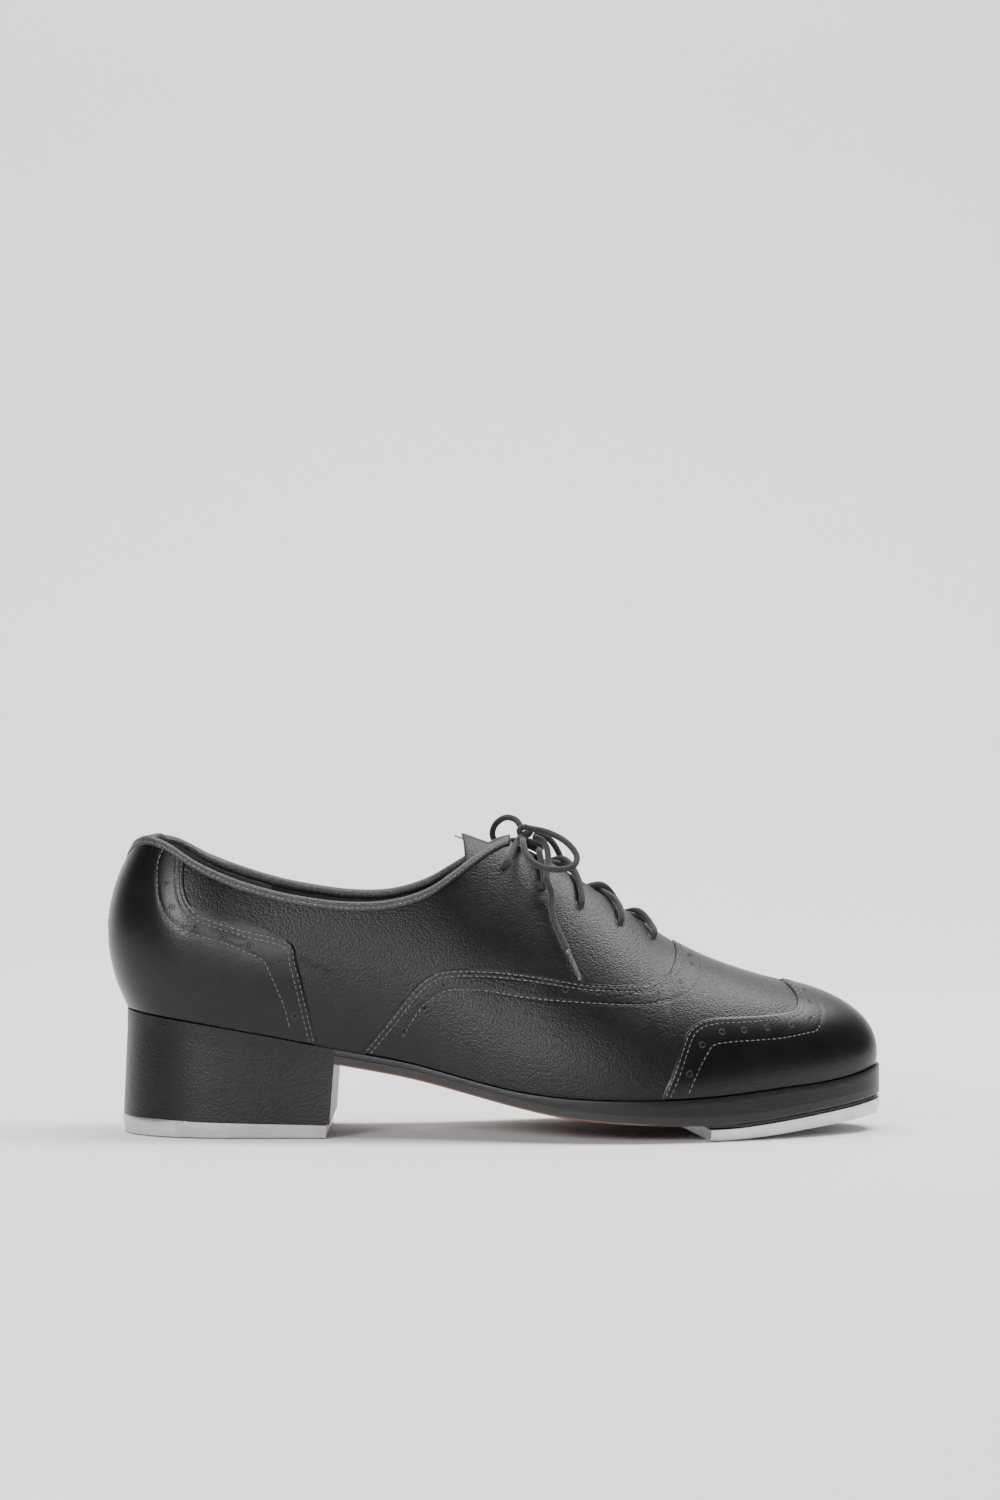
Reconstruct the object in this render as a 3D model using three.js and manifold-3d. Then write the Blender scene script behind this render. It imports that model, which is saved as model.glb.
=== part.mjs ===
// A right-foot oxford tap shoe. Millimetres, +X to the toe, +Y to the inner (medial) side, +Z up,
// origin on the ground below the middle of the shoe.
import * as THREE from 'three';
import { mergeVertices } from 'three/addons/utils/BufferGeometryUtils.js';
import Module from 'manifold-3d';

const wasm = await Module();
wasm.setup();

const LATERAL = -1;
const MEDIAL = 1;
const CLEARANCE = 0.3;
const QUARTER_TURN = Math.PI / 2;

// Driving dimensions of the last: the heel turns about HEEL_X, the toe about TOE_X.
const HEEL_X = -97;
const HEEL_REACH = 35.6;
const HEEL_ROUND = 0.87;
const TOE_X = 62;
const TOE_REACH = 76.2;
const TOE_ROUND = 0.82;
const POLE_X = 103;
const TOE_CROWN_SLOPE = 0.21;
const TOE_SQUARENESS = 0.26;

// Layers of the upper, as depths below the outer leather's face.
const OUTER = [0, 1.2];
const STIFFENER = [1.5, 2.2];
const LINING = [2.5, 3.3];
const GRIP = [3.6, 4.2];
const TONGUE = [6.5, 7.7];

// Sole stack.
const WELT_THICKNESS = 1.8;
const OUTSOLE_THICKNESS = 3.2;
const INSOLE_THICKNESS = 2.2;
const SOCK_THICKNESS = 1.3;
const SOUNDBOARD_THICKNESS = 0.8;
const SOUNDBOARD_STACK = 1.4;
const BREAST_TOP_X = -57;
const BREAST_BOTTOM_X = -58.6;
const MIDSOLE_REAR_X = 20;
const TOE_TAP_REAR = [[77, -60], [60, 60]];
const SCREW_HEAD_RADIUS = 2.6;
const SCREW_SHANK_RADIUS = 1.3;
const SCREW_SINK = 0.3;
const NAIL_LENGTH = 16;
const NAIL_RADIUS = 0.9;

// Lace.
const LACE_RADIUS = 1.1;
const EYELET_RADIUS = 2.0;
const LACE_UNDER = 4.65;
const EYELETS = [
  { u: 1.97, phi: 72 },
  { u: 1.895, phi: 65.1 },
  { u: 1.805, phi: 60.3 },
  { u: 1.72, phi: 59.4 },
  { u: 1.635, phi: 59.7 },
];

// A smooth curve through points [x, value], carried on in a straight line past both ends.
function curve(points) {
  const count = points.length;
  const step = (i) => points[i + 1][0] - points[i][0];
  const rise = (i) => (points[i + 1][1] - points[i][1]) / step(i);
  const slopes = points.map((_, i) => {
    if (i === 0) return rise(0);
    if (i === count - 1) return rise(count - 2);
    return (rise(i - 1) * step(i) + rise(i) * step(i - 1)) / (step(i - 1) + step(i));
  });
  return (x) => {
    if (x <= points[0][0]) return points[0][1] + (x - points[0][0]) * slopes[0];
    const end = count - 1;
    if (x >= points[end][0]) return points[end][1] + (x - points[end][0]) * slopes[end];
    let i = 0;
    while (x > points[i + 1][0]) i += 1;
    const h = step(i);
    const t = (x - points[i][0]) / h;
    return (2 * t ** 3 - 3 * t ** 2 + 1) * points[i][1]
      + (t ** 3 - 2 * t ** 2 + t) * h * slopes[i]
      + (3 * t ** 2 - 2 * t ** 3) * points[i + 1][1]
      + (t ** 3 - t ** 2) * h * slopes[i + 1];
  };
}

// Height of the feather line, where the upper meets the sole, and of the crown of the last.
// Behind the instep the crown is the leg's, far above the topline that cuts it.
const feather = curve([[-132.6, 44.3], [-96, 38.7], [-58, 31.6], [-27.5, 26], [-10.5, 21.6], [6.8, 17.6],
  [23.7, 15.4], [41, 14.5], [62, 14.4], [85, 15.7], [102, 17.4], [119, 18.9], [132, 21.2], [138.2, 23.2]]);
const crown = curve([[-133, 240], [-97, 240], [-60, 190], [-35, 149], [-18, 127], [-5, 114.5], [7.3, 107],
  [18, 100.6], [30, 93], [47, 81], [64, 69], [76, 62.8], [89, 57.9], [103, 54]]);
const topline = curve([[-133, 102], [-130, 105], [-126, 106.8], [-120, 106.3], [-105, 99.4], [-90, 93.8],
  [-79, 90.6], [-66, 88], [-52, 86.3], [-38, 86.8], [-24, 91.2], [-14, 97.1], [-5, 102.6], [3, 106.6],
  [8, 107.5]]);

// Half widths in plan, and the sideways run of the middle line.
const halfWidth = {
  [LATERAL]: curve([[-133, 29.5], [-97, 32.5], [-58, 32.5], [-28, 36], [0, 43], [25, 48], [45, 49], [65, 47],
    [90, 41.5], [115, 35], [139, 27]]),
  [MEDIAL]: curve([[-133, 29.5], [-97, 32], [-58, 28.5], [-28, 29], [0, 35], [25, 43], [45, 47], [65, 46.5],
    [90, 42.5], [115, 38], [139, 32]]),
};
const middle = curve([[-133, 0.7], [0, 0.7], [60, 1.2], [103, 3.7], [139, 6.7]]);

// Shape of a rib: how far it pinches in to the crown, and how far it swells out above the feather line.
const pinch = curve([[-133, 0.1], [-60, 0.1], [-20, 0.25], [10, 0.36], [45, 0.34], [64, 0.27], [90, 0.12],
  [103, 0.05], [139, 0]]);
const swell = curve([[-133, 0], [-60, 0], [-20, 0.5], [20, 1.5], [60, 2.2], [90, 2.2], [110, 2], [139, 1]]);
const heelSwell = curve([[-140, 8.5], [-132, 7.6], [-97, 4], [-60, 3], [-30, 2], [0, 0], [139, 0]]);
const lean = curve([[-140, 2], [-97, -5], [-60, -1], [-30, 0], [0, 0], [139, 0]]);

// The last's surface. u runs 0..1 round the heel, 1..2 along the side and 2..3 round the toe.
// phi runs from 0 at the feather line to a quarter turn at the crown.
// Each rib lies over a straight line in plan, from the feather line in to the middle line.
function last(uIn, phiIn, sideIn) {
  let [u, phi, side] = [Math.abs(uIn), phiIn, uIn < 0 ? -sideIn : sideIn];
  if (u > 3) [u, side] = [6 - u, -side];
  if (phi > QUARTER_TURN) [phi, side] = [Math.PI - phi, -side];
  const heel = u < 1;
  const toe = u > 2;
  const turn = (heel ? 1 - u : Math.max(u - 2, 0)) * QUARTER_TURN;
  const sin = Math.sin(turn);
  const cos = Math.max(Math.cos(turn), 0);
  const along = HEEL_X + (TOE_X - HEEL_X) * THREE.MathUtils.clamp(u - 1, 0, 1);
  let footX = along;
  let centreX = along;
  if (heel) footX = HEEL_X - HEEL_REACH * sin ** HEEL_ROUND;
  if (toe) {
    footX = TOE_X + TOE_REACH * sin ** TOE_ROUND;
    centreX = TOE_X + (POLE_X - TOE_X) * sin;
  }
  const narrowing = heel || toe ? cos ** (heel ? HEEL_ROUND : TOE_ROUND) : 1;
  const footY = middle(footX) + side * halfWidth[side](footX) * narrowing;
  const centreY = middle(centreX);
  const low = feather(footX);
  const depth = crown(centreX) - low;
  const power = toe ? 1 - TOE_SQUARENESS * sin * sin : 1;
  const slope = toe ? TOE_CROWN_SLOPE * (footX - centreX) / depth : 0;
  const reach = Math.max(Math.cos(phi), 0) ** power;
  const rise = Math.max(Math.sin(phi), 0) ** power * (1 - slope * reach);
  const height = low + depth * rise;
  const wall = THREE.MathUtils.clamp((height - low) / (Math.min(topline(footX), crown(centreX)) - low), 0, 1);
  const length = Math.hypot(footX - centreX, footY - centreY);
  const extra = (swell(footX) * 4 * rise * (1 - rise) + heelSwell(footX) * 4 * wall * (1 - wall)
    + lean(footX) * wall) * reach;
  const share = reach * (1 - pinch(footX) * rise * rise) + extra / Math.max(length, 1e-9);
  return new THREE.Vector3(centreX + (footX - centreX) * share, centreY + (footY - centreY) * share, height);
}

// A point on the last moved in along the surface normal by a depth (out if negative).
function onLast(u, phi, side, depth) {
  const d = 1e-3;
  const safePhi = THREE.MathUtils.clamp(phi, 0.02, QUARTER_TURN - 0.02);
  const safeU = THREE.MathUtils.clamp(u, 0, 3);
  const alongU = last(safeU + d, safePhi, side).sub(last(safeU - d, safePhi, side));
  const alongPhi = last(safeU, safePhi + d, side).sub(last(safeU, safePhi - d, side));
  const normal = alongU.cross(alongPhi).normalize().multiplyScalar(-side);
  if (phi >= QUARTER_TURN || u === 0 || u === 3) normal.setComponent(1, 0).normalize();
  return last(u, phi, side).addScaledVector(normal, -depth);
}

function toSolid(geometry) {
  const plain = geometry.clone();
  plain.deleteAttribute('normal');
  plain.deleteAttribute('uv');
  const merged = mergeVertices(plain, 1e-4);
  const corners = merged.index.array;
  const kept = [];
  for (let i = 0; i < corners.length; i += 3) {
    const [a, b, c] = [corners[i], corners[i + 1], corners[i + 2]];
    if (a !== b && b !== c && a !== c) kept.push(a, b, c);
  }
  const positions = Float32Array.from(merged.attributes.position.array);
  const make = (triangles) => new wasm.Manifold(new wasm.Mesh({
    numProp: 3,
    vertProperties: positions,
    triVerts: Uint32Array.from(triangles),
  }));
  const solid = make(kept);
  return solid.volume() >= 0 ? solid : make(kept.toReversed());
}

// The largest body of a solid: slivers that a cut leaves beside it are dropped.
function toGeometry(solid) {
  const whole = solid.decompose().sort((a, b) => b.volume() - a.volume())[0];
  const mesh = whole.getMesh();
  const geometry = new THREE.BufferGeometry();
  geometry.setAttribute('position', new THREE.BufferAttribute(mesh.vertProperties, 3));
  geometry.setIndex(new THREE.BufferAttribute(mesh.triVerts, 1));
  geometry.computeVertexNormals();
  return geometry;
}

// A solid lofted through rings of points. A ring runs forward on the lateral side and back on the
// medial side, so each end is closed by a strip between opposite points.
function loft(rings) {
  const size = rings[0].length;
  const positions = rings.flat().flatMap((point) => point.toArray());
  const index = [];
  for (let ring = 0; ring < rings.length - 1; ring += 1) {
    for (let i = 0; i < size; i += 1) {
      const a = ring * size + i;
      const b = ring * size + (i + 1) % size;
      index.push(a, b, a + size, b, b + size, a + size);
    }
  }
  const close = (start, flip) => {
    for (let i = 0; i < size / 2; i += 1) {
      const [a, b] = [start + i, start + i + 1];
      const [c, d] = [start + (size - i) % size, start + (size - i - 1) % size];
      if (flip) index.push(a, d, b, a, c, d);
      else index.push(a, b, d, a, d, c);
    }
  };
  close(0, true);
  close((rings.length - 1) * size, false);
  const geometry = new THREE.BufferGeometry();
  geometry.setAttribute('position', new THREE.Float32BufferAttribute(positions, 3));
  geometry.setIndex(index);
  return toSolid(geometry);
}

const HEEL_STEPS = 4;
const SIDE_STEPS = 10;
const TOE_STEPS = 6;
const STATIONS = [];
for (let i = 0; i <= HEEL_STEPS; i += 1) STATIONS.push(i / HEEL_STEPS);
for (let i = 1; i <= SIDE_STEPS; i += 1) STATIONS.push(1 + i / SIDE_STEPS);
for (let i = 1; i <= TOE_STEPS; i += 1) STATIONS.push(2 + i / TOE_STEPS);

function ringOf(stations, pointAt) {
  const forward = stations.map((u) => pointAt(u, LATERAL));
  const back = stations.slice(1, -1).reverse().map((u) => pointAt(u, MEDIAL));
  return [...forward, ...back];
}

// The angle on a rib that lies a little above the topline, where the rib is cut.
function cutAngle(u) {
  const x = last(u, 0.3, LATERAL).x;
  const low = feather(x);
  return u > 1.62 ? 1.35 : Math.asin(Math.min((topline(Math.max(x, -128)) + 4 - low) / (crown(x) - low), 0.97));
}

const WALL_STEPS = 5;
const CROWN_STEPS = 2;

// The whole last as a solid, its face moved in by a depth, with its foot carried down by a skirt.
function lastSolid(depth, skirt) {
  const level = (u, j) => {
    const cut = cutAngle(u);
    if (j <= WALL_STEPS) return cut * j / WALL_STEPS;
    return cut + (QUARTER_TURN - cut) * (j - WALL_STEPS) / CROWN_STEPS;
  };
  const rings = [];
  if (skirt > 0) {
    rings.push(ringOf(STATIONS, (u, side) => onLast(u, 0, side, depth).add(new THREE.Vector3(0, 0, -skirt))));
  }
  for (let j = 0; j <= WALL_STEPS + CROWN_STEPS; j += 1) {
    rings.push(ringOf(STATIONS, (u, side) => onLast(u, level(u, j), side, depth)));
  }
  return loft(rings);
}

const SKIRT = 6;
function shell([outside, inside]) {
  return lastSolid(outside, 0).subtract(lastSolid(inside, SKIRT));
}

// A prism through the shoe from side to side, drawn in side view as points [x, z].
const HALF_DEPTH = 90;
function sidePrism(points) {
  const outline = new THREE.Shape(points.map(([x, z]) => new THREE.Vector2(x, z)));
  const geometry = new THREE.ExtrudeGeometry(outline, { depth: 2 * HALF_DEPTH, bevelEnabled: false });
  geometry.rotateX(QUARTER_TURN);
  geometry.translate(0, HALF_DEPTH, 0);
  return toSolid(geometry);
}

// A vertical prism drawn in plan as points [x, y].
function planPrism(points, low, high) {
  const outline = new THREE.Shape(points.map(([x, y]) => new THREE.Vector2(x, y)));
  const geometry = new THREE.ExtrudeGeometry(outline, { depth: high - low, bevelEnabled: false });
  geometry.translate(0, 0, low);
  return toSolid(geometry);
}

const BELOW = -20;
const ABOVE = 260;
const BEHIND = -170;
const AHEAD = 170;

// A line of points [x, z] moved sideways, to its right as it climbs.
function offsetLine(points, distance) {
  return points.map(([x, z], i) => {
    const [beforeX, beforeZ] = points[Math.max(i - 1, 0)];
    const [afterX, afterZ] = points[Math.min(i + 1, points.length - 1)];
    const length = Math.hypot(afterX - beforeX, afterZ - beforeZ);
    return [x + distance * (afterZ - beforeZ) / length, z - distance * (afterX - beforeX) / length];
  });
}

function sampled(profile, from, to, steps, drop) {
  return Array.from({ length: steps + 1 }, (_, i) => {
    const x = from + (to - from) * i / steps;
    return [x, profile(x) - drop];
  });
}

// Everything below the topline, less a drop.
function belowTopline(drop) {
  const line = sampled(topline, -136, 3, 20, drop);
  return sidePrism([[BEHIND, BELOW], [AHEAD, BELOW], [AHEAD, 150], [9, 150], ...line.reverse(),
    [BEHIND, 98 - drop]]);
}

// Seams in side view, each from the feather line upwards.
const CAP_SEAM = [[58.5, 8], [58.5, 15], [62.6, 24.6], [64.9, 31], [67.9, 38], [71.6, 41], [77.5, 42.4],
  [86.4, 42.6], [98.3, 43], [104.5, 43.6], [107.8, 44.8], [108.7, 47.8], [107.2, 50.8], [103.9, 54.1],
  [102, 70]];
const VAMP_SEAM = [[-50, 20], [-47, 31], [-35.8, 44], [-27.8, 54], [-21.5, 58.6], [-15, 60], [-1.6, 59.8],
  [11, 58.5], [23.8, 56.5], [32.6, 55.1], [45.3, 54.3], [54, 54.2], [58.8, 56], [62.8, 59], [64.6, 62.5],
  [65.4, 65.5], [65.6, 80]];
const FOXING_SEAM = [[-62, 25], [-62.8, 34.2], [-66, 46.5], [-68.4, 56.5], [-70, 62.5], [-71.6, 68.6],
  [-89.8, 74.4], [-100.2, 77.6], [-105, 79.8], [-108.3, 83], [-110, 87], [-110.6, 92], [-110.2, 100.7],
  [-109.6, 112]];

const HALF_GAP = 0.2;
const aheadOf = (seam) => sidePrism([...offsetLine(seam, HALF_GAP), [AHEAD, 150], [AHEAD, BELOW]]);
const behind = (seam) => sidePrism([...offsetLine(seam, -HALF_GAP), [BEHIND, ABOVE], [BEHIND, BELOW]]);

// The gap between the two facings, wider at the top, and the block that splits the two quarters.
const FACING_GAP = [[68, 0.8], [62, 2.2], [3, 7.5], [-8, 9], [-8, -9], [3, -7.5], [62, -2.2], [68, -0.8]]
  .map(([x, y]) => [x, y + middle(30)]);
const facingGap = planPrism(FACING_GAP, 45, 150);
const halfOf = (side) => planPrism([[BEHIND, side * 0.15 + 0.5], [AHEAD, side * 0.15 + 0.5],
  [AHEAD, side * 90], [BEHIND, side * 90]], BELOW, ABOVE);

function cylinderBetween(from, to, radius, sides) {
  const axis = to.clone().sub(from);
  const geometry = new THREE.CylinderGeometry(radius, radius, axis.length(), sides);
  geometry.applyQuaternion(new THREE.Quaternion().setFromUnitVectors(
    new THREE.Vector3(0, 1, 0),
    axis.clone().normalize(),
  ));
  geometry.translate(...from.clone().add(to).multiplyScalar(0.5).toArray());
  return toSolid(geometry);
}

function eyeletPoint(index, side, depth) {
  return onLast(EYELETS[index].u, THREE.MathUtils.degToRad(EYELETS[index].phi), side, depth);
}

// A tube along a smooth path of points.
const TUBE_SIDES = 8;
function tube(points, radius, steps) {
  const section = new THREE.Shape(Array.from({ length: TUBE_SIDES }, (_, i) => {
    const angle = 2 * Math.PI * i / TUBE_SIDES;
    return new THREE.Vector2(radius * Math.cos(angle), radius * Math.sin(angle));
  }));
  const path = new THREE.CatmullRomCurve3(points.map((p) => (p.isVector3 ? p : new THREE.Vector3(...p))));
  return toSolid(new THREE.ExtrudeGeometry(section, { steps, bevelEnabled: false, extrudePath: path }));
}

// The laced stretch: out of each hole, over the gap, under the far facing and up through the next hole.
// CROSSINGS says how far along each crossing lies; the last lies ahead of the knot.
const CROSSINGS = [0.5, 0.5, 0.5, 0.14];
function lacePath() {
  const hole = (index, side, depth) => eyeletPoint(index, side, depth);
  const strand = (index, side, lift) => {
    const [from, next] = [EYELETS[index], EYELETS[index + 1]];
    const at = (share, phi, across, depth) => onLast(
      THREE.MathUtils.lerp(from.u, next.u, share),
      THREE.MathUtils.degToRad(phi),
      across,
      depth,
    );
    return [
      hole(index, side, -0.6),
      at(0.12, (from.phi + 90) / 2, side, -1.7),
      at(CROSSINGS[index], 90, side, -0.4 - lift),
      at(0.8, 80, -side, 2.2),
      at(0.95, (next.phi + 82) / 2, -side, LACE_UNDER),
      hole(index + 1, -side, LACE_UNDER),
    ];
  };
  const side = (start) => {
    const points = [];
    for (let i = 0; i < EYELETS.length - 1; i += 1) {
      const from = i % 2 === 0 ? start : -start;
      points.push(...strand(i, from, start === LATERAL ? 1.2 : -1.2));
    }
    const end = EYELETS.length % 2 === 1 ? start : -start;
    points.push(hole(EYELETS.length - 1, end, 1.6), hole(EYELETS.length - 1, end, -1.0));
    return points;
  };
  const overTongue = (degrees, side) => onLast(
    EYELETS[0].u,
    THREE.MathUtils.degToRad(degrees),
    side,
    LACE_UNDER,
  );
  const bar = [hole(0, MEDIAL, LACE_UNDER), overTongue(81, MEDIAL), overTongue(81, LATERAL),
    hole(0, LATERAL, LACE_UNDER)];
  const underKnot = (across) => new THREE.Vector3(7.9, across * 4.6, 103.9);
  return [underKnot(MEDIAL), ...side(MEDIAL).reverse(), ...bar, ...side(LATERAL), underKnot(LATERAL)];
}

const LACE_STEPS = 120;
const LOOSE_STEPS = 22;
const laceTunnel = tube(lacePath(), LACE_RADIUS + 0.25, LACE_STEPS);
function withEyelets(solid, side) {
  return EYELETS.reduce((body, _, i) => body.subtract(
    cylinderBetween(eyeletPoint(i, side, -4), eyeletPoint(i, side, 4), EYELET_RADIUS, 6),
  ), solid).subtract(laceTunnel);
}

const shoe = new THREE.Group();

function addGeometry(name, geometry, colour, roughness, metalness = 0) {
  const material = new THREE.MeshStandardMaterial({ color: colour, roughness, metalness });
  const mesh = new THREE.Mesh(geometry, material);
  mesh.name = name;
  shoe.add(mesh);
}

const add = (name, solid, ...look) => addGeometry(name, toGeometry(solid), ...look);

const LEATHER = [0x141414, 0.42];
const LINING_LOOK = [0x1c1c1e, 0.8];
const BOARD = [0x8a6f52, 0.85];
const SOLE = [0x101010, 0.5];
const STEEL = [0x8d8f92, 0.35, 1];
const ALUMINIUM = [0xbfc2c6, 0.38, 1];
const LACE_LOOK = [0x0b0b0b, 0.85];
const AGLET_LOOK = [0x3a3a3c, 0.35];

// Outer leather, cut along its seams.
const BINDING_HEIGHT = 2.6;
function makeOuterLeather() {
  const outer = shell(OUTER);
  const trimmed = outer.intersect(belowTopline(BINDING_HEIGHT + CLEARANCE));
  add('toe_cap', trimmed.intersect(aheadOf(CAP_SEAM)), ...LEATHER);
  add('vamp', trimmed.intersect(behind(CAP_SEAM)).intersect(aheadOf(VAMP_SEAM)),
    ...LEATHER);
  add('heel_foxing', trimmed.intersect(behind(FOXING_SEAM)), ...LEATHER);
  const quarters = trimmed.intersect(behind(VAMP_SEAM)).intersect(aheadOf(FOXING_SEAM))
    .subtract(facingGap);
  for (const [name, side] of [['lateral', LATERAL], ['medial', MEDIAL]]) {
    add(`quarter_${name}`, withEyelets(quarters.intersect(halfOf(side)), side), ...LEATHER);
  }
}

// Hidden stiffeners between the outer leather and the lining.
const COUNTER_LINE = [[-50, 20], [-56, 40], [-70, 62], [-96, 84], [-104, 110]];
const PUFF_LINE = [[74, 8], [76, 30], [84, 44], [96, 52], [98, 70]];
const STAY_LINE = [[-14, 70], [-4, 76], [20, 72], [40, 64], [58, 56], [62, 57.5], [60, 90], [-14, 112]];
function makeStiffeners() {
  const layer = shell(STIFFENER).intersect(belowTopline(BINDING_HEIGHT + 4));
  add('toe_puff', layer.intersect(aheadOf(PUFF_LINE)), ...BOARD);
  add('heel_counter', layer.intersect(behind(COUNTER_LINE)), ...BOARD);
  const facing = layer.intersect(sidePrism(STAY_LINE)).subtract(facingGap);
  for (const [name, side] of [['lateral', LATERAL], ['medial', MEDIAL]]) {
    add(`facing_stay_${name}`, withEyelets(facing.intersect(halfOf(side)), side), ...LINING_LOOK);
  }
}

// Linings, the heel grip and the tongue.
const LINING_SEAM = [[30, 8], [40, 40], [66, 58], [70, 64], [71, 90]];
const GRIP_LINE = [[-70, 20], [-75, 50], [-80, 80], [-82, 112]];
function makeLinings() {
  const layer = shell(LINING).intersect(belowTopline(BINDING_HEIGHT + CLEARANCE));
  add('vamp_lining', layer.intersect(aheadOf(LINING_SEAM)), ...LINING_LOOK);
  const rear = layer.intersect(behind(LINING_SEAM)).subtract(facingGap);
  add('quarter_lining', withEyelets(withEyelets(rear, LATERAL), MEDIAL), ...LINING_LOOK);
  const grip = shell(GRIP).intersect(belowTopline(BINDING_HEIGHT + 3));
  add('heel_grip', grip.intersect(behind(GRIP_LINE)), ...LINING_LOOK);
}

// The tongue follows the ribs under the facings and runs straight on above the last of them.
const TONGUE_ENDS = [2.04, 1.556];
const TONGUE_RISE = 0.36;
const TONGUE_STRAIGHT_U = 1.645;
const TONGUE_EDGE_ANGLE = 0.9;
const TONGUE_STEPS = 9;
function tonguePoint(u, across, depth) {
  const phi = QUARTER_TURN - Math.abs(across) * (QUARTER_TURN - TONGUE_EDGE_ANGLE);
  const point = onLast(Math.max(u, TONGUE_STRAIGHT_U), phi, across < 0 ? LATERAL : MEDIAL, depth);
  const beyond = Math.max(TONGUE_STRAIGHT_U - u, 0) * (TOE_X - HEEL_X);
  return point.add(new THREE.Vector3(-beyond, 0, TONGUE_RISE * beyond));
}

// A sheet of the tongue between two stations, out to a share of its width each way.
function tongueSheet(ends, width, [outside, inside], steps, columns) {
  const across = Array.from({ length: columns + 1 }, (_, i) => width * (2 * i / columns - 1));
  return loft(Array.from({ length: steps + 1 }, (_, i) => {
    const u = THREE.MathUtils.lerp(...ends, i / steps);
    const outer = across.map((share) => tonguePoint(u, share, outside));
    const inner = across.map((share) => tonguePoint(u, share, inside)).reverse();
    return [...outer, ...inner];
  }));
}

// The tag is a flat strip sewn under the straight run of the tongue, which it outlasts a little.
const TAG_START_U = 1.6;
const TAG_SHARE = 0.22;
const TAG_SIZE = { length: 9.8, thickness: 0.5 };
function tagCorners(distance) {
  const along = new THREE.Vector3(-1, 0, TONGUE_RISE).normalize().multiplyScalar(distance);
  const down = new THREE.Vector3(-TONGUE_RISE, 0, -1).normalize().multiplyScalar(TAG_SIZE.thickness);
  const edges = [-TAG_SHARE, TAG_SHARE].map(
    (share) => tonguePoint(TAG_START_U, share, TONGUE[1] + CLEARANCE).add(along),
  );
  return [edges[0], edges[1], edges[1].clone().add(down), edges[0].clone().add(down)];
}

function makeTongue() {
  add('tongue', tongueSheet(TONGUE_ENDS, 1, TONGUE, TONGUE_STEPS, 10), ...LEATHER);
  add('tongue_tag', loft([tagCorners(0), tagCorners(TAG_SIZE.length)]), ...LINING_LOOK);
}

// The binding folded over the topline: as thick as the whole wall.
function makeBinding() {
  const band = shell([-0.4, GRIP[0] + 0.4]).intersect(belowTopline(0)).subtract(belowTopline(BINDING_HEIGHT));
  const ahead = sidePrism([[BEHIND, 60], [5.5, 60], [5.5, ABOVE], [BEHIND, ABOVE]]);
  add('topline_binding', band.intersect(ahead).subtract(facingGap), ...LEATHER);
}

// The sole edge in plan stands out from the feather line by a margin, least at the waist.
const margin = curve([[-133, 0.4], [-58, 0.4], [-20, 0.8], [20, 2.2], [60, 2.6], [110, 2], [139, 1.8]]);
function soleEdge(u, side, inset) {
  const foot = last(u, 0, side);
  const d = 1e-3;
  const ahead = last(Math.min(u + d, 3), 0, side);
  const before = last(Math.max(u - d, 0), 0, side);
  const along = ahead.sub(before);
  const out = new THREE.Vector3(along.y, -along.x, 0).normalize().multiplyScalar(-side);
  if (u === 0) out.set(-1, 0, 0);
  if (u === 3) out.set(1, 0, 0);
  return foot.addScaledVector(out, margin(foot.x) - inset);
}

// A flat layer of the sole with its edge inset, between two heights that vary along the shoe.
function soleLayer(inset, top, bottom) {
  const at = (height) => (u, side) => {
    const point = soleEdge(u, side, inset);
    return point.setZ(height(point.x));
  };
  return loft([ringOf(STATIONS, at(bottom)), ringOf(STATIONS, at(top))]);
}

// Height of the outsole's underside.
const underside = curve([[-133, 38.8], [-96, 33.2], [-58, 26.1], [-27.5, 20.6], [-10.5, 16.4], [6.8, 12],
  [23.7, 8.5], [41, 6.6], [62, 5.5], [77, 5.3], [85, 5.5], [95, 6.4], [115, 8.9], [134, 11.7], [140, 12.9]]);
const rocker = curve([[84, 0], [95, 0.8], [115, 3], [134, 5.3], [140, 6.2]]);
const treadLine = (x) => Math.max(rocker(Math.max(x, 84)), 0);
const slice = (from, to) => sidePrism([[from, BELOW], [to, BELOW], [to, 150], [from, 150]]);
const INSOLE_INSET = 6.9;
const FILLER_INSET = 13;

// Screws and nails turn about an upright axis: profile points are [radius, height].
function turned(profile, x, y, z, sides) {
  const geometry = new THREE.LatheGeometry(profile.map(([r, h]) => new THREE.Vector2(r, h)), sides);
  geometry.rotateX(QUARTER_TURN);
  geometry.translate(x, y, z);
  return toSolid(geometry);
}

// Each fastener is a body and the seat it is driven into, a clearance larger all round.
function screwAt(name, x, y, z, length) {
  const profile = (grow) => [
    [0, -grow * 8], [SCREW_HEAD_RADIUS + grow, -grow * 8], [SCREW_HEAD_RADIUS + grow, 0.5],
    [SCREW_SHANK_RADIUS + grow, 2], [SCREW_SHANK_RADIUS + grow, length + grow], [0, length + grow],
  ];
  return { name, body: turned(profile(0), x, y, z, 10), seat: turned(profile(CLEARANCE), x, y, z, 10) };
}

function nailAt(name, x, y) {
  const foot = feather(x) - NAIL_LENGTH;
  const profile = (grow) => [
    [0, -grow], [NAIL_RADIUS + grow, -grow], [NAIL_RADIUS + grow, NAIL_LENGTH - 0.6], [0, NAIL_LENGTH - 0.6],
  ];
  return { name, body: turned(profile(0), x, y, foot, 8), seat: turned(profile(CLEARANCE), x, y, foot, 8) };
}

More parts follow.
